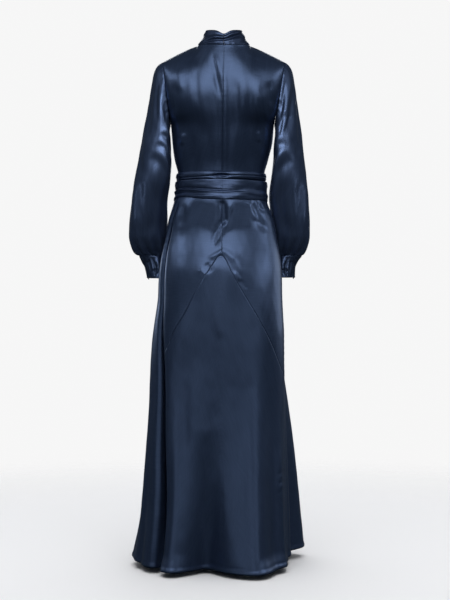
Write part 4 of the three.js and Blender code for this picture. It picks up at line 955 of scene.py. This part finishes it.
tailShape = {"grid": (34, 170), "topZ": -461.35, "halfWidth": 23, "topWidth": 0.45, "widening": 0.4,
             "slant": 10, "stand": 2.4, "flute": 4.5, "fluteIn": (0, 0.15), "fluteLoss": 0.4, "lowest": -0.5,
             "fluteSway": 0.06, "swayPace": 6, "swellAcross": 40,
             "ridge": 1.4, "ridgeAt": 0.55, "ridgeLean": 0.2, "ridgeWidth": 0.13, "ridgeIn": (0.05, 0.3),
             "swells": ((0.5, 60, 81, 2.0),), "swellIn": (0.1, 0.3)}
sashTails = named("name node startTurn endTurn bottomZ flat area", (
    ("sashTailLong", "sash_tail_long", 110, 136, -905, (0.060, 0.46), 0.021),
    ("sashTailShort", "sash_tail_short", 119.5, 161, -815, (0.060, 0.38), 0.018)))


# Hanging end of the sash: it widens as it falls, with two uneven flutes and a slanting end.
def makeTail(shape, name, node, startTurn, endTurn, bottomZ, flat, area):
    across, share = gridLines(shape["grid"], -1, 1)
    middleZ = mix(shape["topZ"], bottomZ, share)
    centre = mix(startTurn, endTurn, share)
    half = shape["halfWidth"] * mix(shape["topWidth"], 1.0, softStep(share, 0, shape["widening"]))
    reach = np.linalg.norm(bodyPoint(centre, middleZ)[..., :2], axis=-1)
    turn = centre + across * half / np.radians(reach)
    z = middleZ + shape["slant"] * across * share
    sway = shape["fluteSway"] * np.sin(shape["swayPace"] * share)
    waves = 0.5 + 0.5 * np.cos(2 * math.pi * (across + sway))
    flute = shape["flute"] * waves * softStep(share, *shape["fluteIn"]) * (1 - shape["fluteLoss"] * share)
    ridge = bell(across - shape["ridgeAt"] + shape["ridgeLean"] * share, shape["ridgeWidth"])
    flute += shape["ridge"] * ridge * softStep(share, *shape["ridgeIn"])
    flute += swell(across * shape["swellAcross"], z, shape["swells"]) * softStep(share, *shape["swellIn"])
    points, outward = layered(turn, z, shape["stand"] + np.maximum(flute, shape["lowest"]))
    clothPiece(name, node, "satin_sash", points, runningLength(points, 1), runningLength(points, 0), outward)


makeBand(bandShape)
makeWrap(wrapShape)
makeKnot(knotShape)
for row in sashTails:
    makeTail(tailShape, **row)
print("sash made")

# The studio is in metres.
studio = {"floorZ": -1.536, "floorRadius": 2.6, "floorSolid": 1.0, "backdropGrey": 0.925, "fillGrey": 0.06,
          "lowGrey": 0.018, "darkBelow": -0.7, "fillTint": (0.80, 0.96, 1.15)}
cameraPlace = {"location": (-0.009, 3.6, -0.75), "lens": 73.2, "sensor": 36}
# Lights: name, place, aim, size across and down, power in watts, and the start of the names of the pieces
# that it lights, or nothing where it lights them all. Two powers make a light at the left and its mirror
# image at the right.
lights = (
    ("keyBox", (0.0, 3.9, 2.9), (0, 0, -0.3), 5.0, 3.4, (95,), ""),
    ("panel", (4.2, 1.2, 2.3), (0, 0, -0.5), 4.2, 2.4, (9, 9), ""),
    ("frontBox", (0.0, -4.6, 1.0), (0, 0, -0.6), 3.0, 2.6, (42,), ""),
    ("levelCard", (0.0, 5.6, 0.1), (0, 0, -0.4), 1.1, 0.9, (2.5,), ""),
    ("blade", (4.0, 1.0, 3.0), (0, 0, -0.1), 3.0, 1.4, (20, 20), "bodice"),
    ("hipLeft", (4.0, 1.7, 1.9), (0, 0, -0.7), 2.0, 0.8, (15,), "skirt"),
    ("edgeLeft", (3.3, -2.2, 0.1), (0, 0, -0.8), 1.6, 1.3, (17,), "skirt"),
    ("hipRight", (-4.0, 1.4, 0.6), (0, 0, -0.7), 2.8, 1.1, (18,), "skirt"),
    ("edgeRight", (-3.4, -1.9, 0.0), (0, 0, -0.8), 2.4, 1.8, (16,), "skirt"),
    ("lowCard", (0.0, 5.6, -1.1), (0, 0, -1.0), 5.4, 1.3, (8,), "skirt"),
    ("lowSide", (3.4, 4.2, -0.9), (0, 0, -1.0), 2.2, 1.6, (5, 5), "skirt"),
    ("waistCard", (0.0, 5.6, 0.1), (0, 0, -0.4), 0.7, 0.8, (30,), "sash"),
    ("wristCard", (0.0, 2.0, -1.35), (0, 0, -0.65), 2.0, 0.5, (12,), "cuff"),
    ("armCard", (0.0, 5.0, 0.6), (0, 0, -0.25), 3.8, 1.2, (84,), "sleeve"),
    ("armSide", (3.6, 3.4, 0.7), (0.2, 0, -0.2), 1.8, 1.3, (9, 16), "sleeve"),
    ("gatherSide", (4.0, 1.4, -1.0), (0.2, 0, -0.6), 0.9, 0.6, (3, 3), "sleeve"),
    ("floorBox", (0.0, 0.0, 4.0), (0, 0, -1.5), 6.0, 6.0, (310,), "floor"),
)


# Floor: a pale patch under the hem that fades out round its rim, where the backdrop takes over.
def makeFloor():
    half, level = studio["floorRadius"], studio["floorZ"]
    mesh = bpy.data.meshes.new("floor")
    mesh.from_pydata([(-half, -half, level), (half, -half, level), (half, half, level), (-half, half, level)],
                     [], [(0, 1, 2, 3)])
    floor = bpy.data.objects.new("floor", mesh)
    bpy.context.scene.collection.objects.link(floor)
    material, tree, shader = newMaterial("paleFloor")
    place = addNode(tree, "ShaderNodeTexCoord")
    length = addNode(tree, "ShaderNodeVectorMath", {0: place.outputs["Object"]}, operation="LENGTH")
    fade = addNode(tree, "ShaderNodeMapRange", {
        "Value": length.outputs["Value"], "From Min": math.hypot(studio["floorSolid"], level),
        "From Max": math.hypot(half, level), "To Min": 1, "To Max": 0}, interpolation_type="SMOOTHSTEP")
    fillSockets(tree, shader, {"Base Color": (0.86, 0.86, 0.87, 1), "Roughness": 0.9,
                               "Specular IOR Level": 0.1, "Alpha": fade.outputs["Result"]})
    mesh.materials.append(material)
    floor.visible_glossy = False        # the dress doesn't pick up the floor's glow
    floor.visible_diffuse = False


# World: a pale backdrop for the camera and a dim room for everything else, darker towards its floor.
def makeWorld():
    world = bpy.data.worlds.new("studioRoom")
    world.use_nodes = True
    bpy.context.scene.world = world
    tree = world.node_tree
    seen = tree.nodes["Background"]
    seen.inputs["Color"].default_value = (studio["backdropGrey"],) * 3 + (1,)
    heading = addNode(tree, "ShaderNodeTexCoord")
    parts = addNode(tree, "ShaderNodeSeparateXYZ", {0: heading.outputs["Generated"]})
    level = addNode(tree, "ShaderNodeMapRange", {
        "Value": parts.outputs["Z"], "From Min": studio["darkBelow"], "From Max": 0.0,
        "To Min": studio["lowGrey"], "To Max": studio["fillGrey"]})
    room = addNode(tree, "ShaderNodeBackground", {"Color": (*studio["fillTint"], 1),
                                                  "Strength": level.outputs["Result"]})
    path = addNode(tree, "ShaderNodeLightPath")
    blend = addNode(tree, "ShaderNodeMixShader", {0: path.outputs["Is Camera Ray"], 1: room.outputs[0],
                                                  2: seen.outputs[0]})
    fillSockets(tree, tree.nodes["World Output"], {"Surface": blend.outputs[0]})


# Collection of the pieces whose names start with a word, for lights that reach only those.
def piecesOf(word):
    receivers = bpy.data.collections.get(word + "Only")
    if receivers is None:
        receivers = bpy.data.collections.new(word + "Only")
        for piece in bpy.context.scene.collection.objects:
            if piece.type == "MESH" and piece.name.startswith(word):
                receivers.objects.link(piece)
    return receivers


# One soft light: a rectangle turned to face its aim, both mirrored where it stands at the right.
def makeLight(name, mirror, place, aim, across, down, power, lit):
    lamp = bpy.data.lights.new(name, "AREA")
    lamp.shape = "RECTANGLE"
    lamp.size = across
    lamp.size_y = down
    lamp.energy = power
    item = bpy.data.objects.new(name, lamp)
    item.location = (mirror * place[0], *place[1:])
    toAim = mathutils.Vector((mirror * aim[0], *aim[1:])) - item.location
    item.rotation_euler = toAim.to_track_quat("-Z", "Y").to_euler()
    bpy.context.scene.collection.objects.link(item)
    if lit:
        item.light_linking.receiver_collection = piecesOf(lit)


# Camera: it stands level behind the dress, turned by half a circle to face it.
def makeCamera():
    camera = bpy.data.cameras.new("camera")
    camera.sensor_width = cameraPlace["sensor"]
    camera.sensor_height = cameraPlace["sensor"]
    camera.lens = cameraPlace["lens"]
    item = bpy.data.objects.new("camera", camera)
    item.location = cameraPlace["location"]
    item.rotation_euler = (math.pi / 2, 0, math.pi)
    bpy.context.scene.collection.objects.link(item)
    bpy.context.scene.camera = item


makeFloor()
makeWorld()
for name, place, aim, across, down, powers, lit in lights:
    ends = ("Left", "Right") if len(powers) == 2 else ("",)
    for end, mirror, power in zip(ends, (1, -1), powers):
        makeLight(name + end, mirror, place, aim, across, down, power, lit)
makeCamera()
bpy.context.scene.view_settings.view_transform = "Standard"
print("studio made")
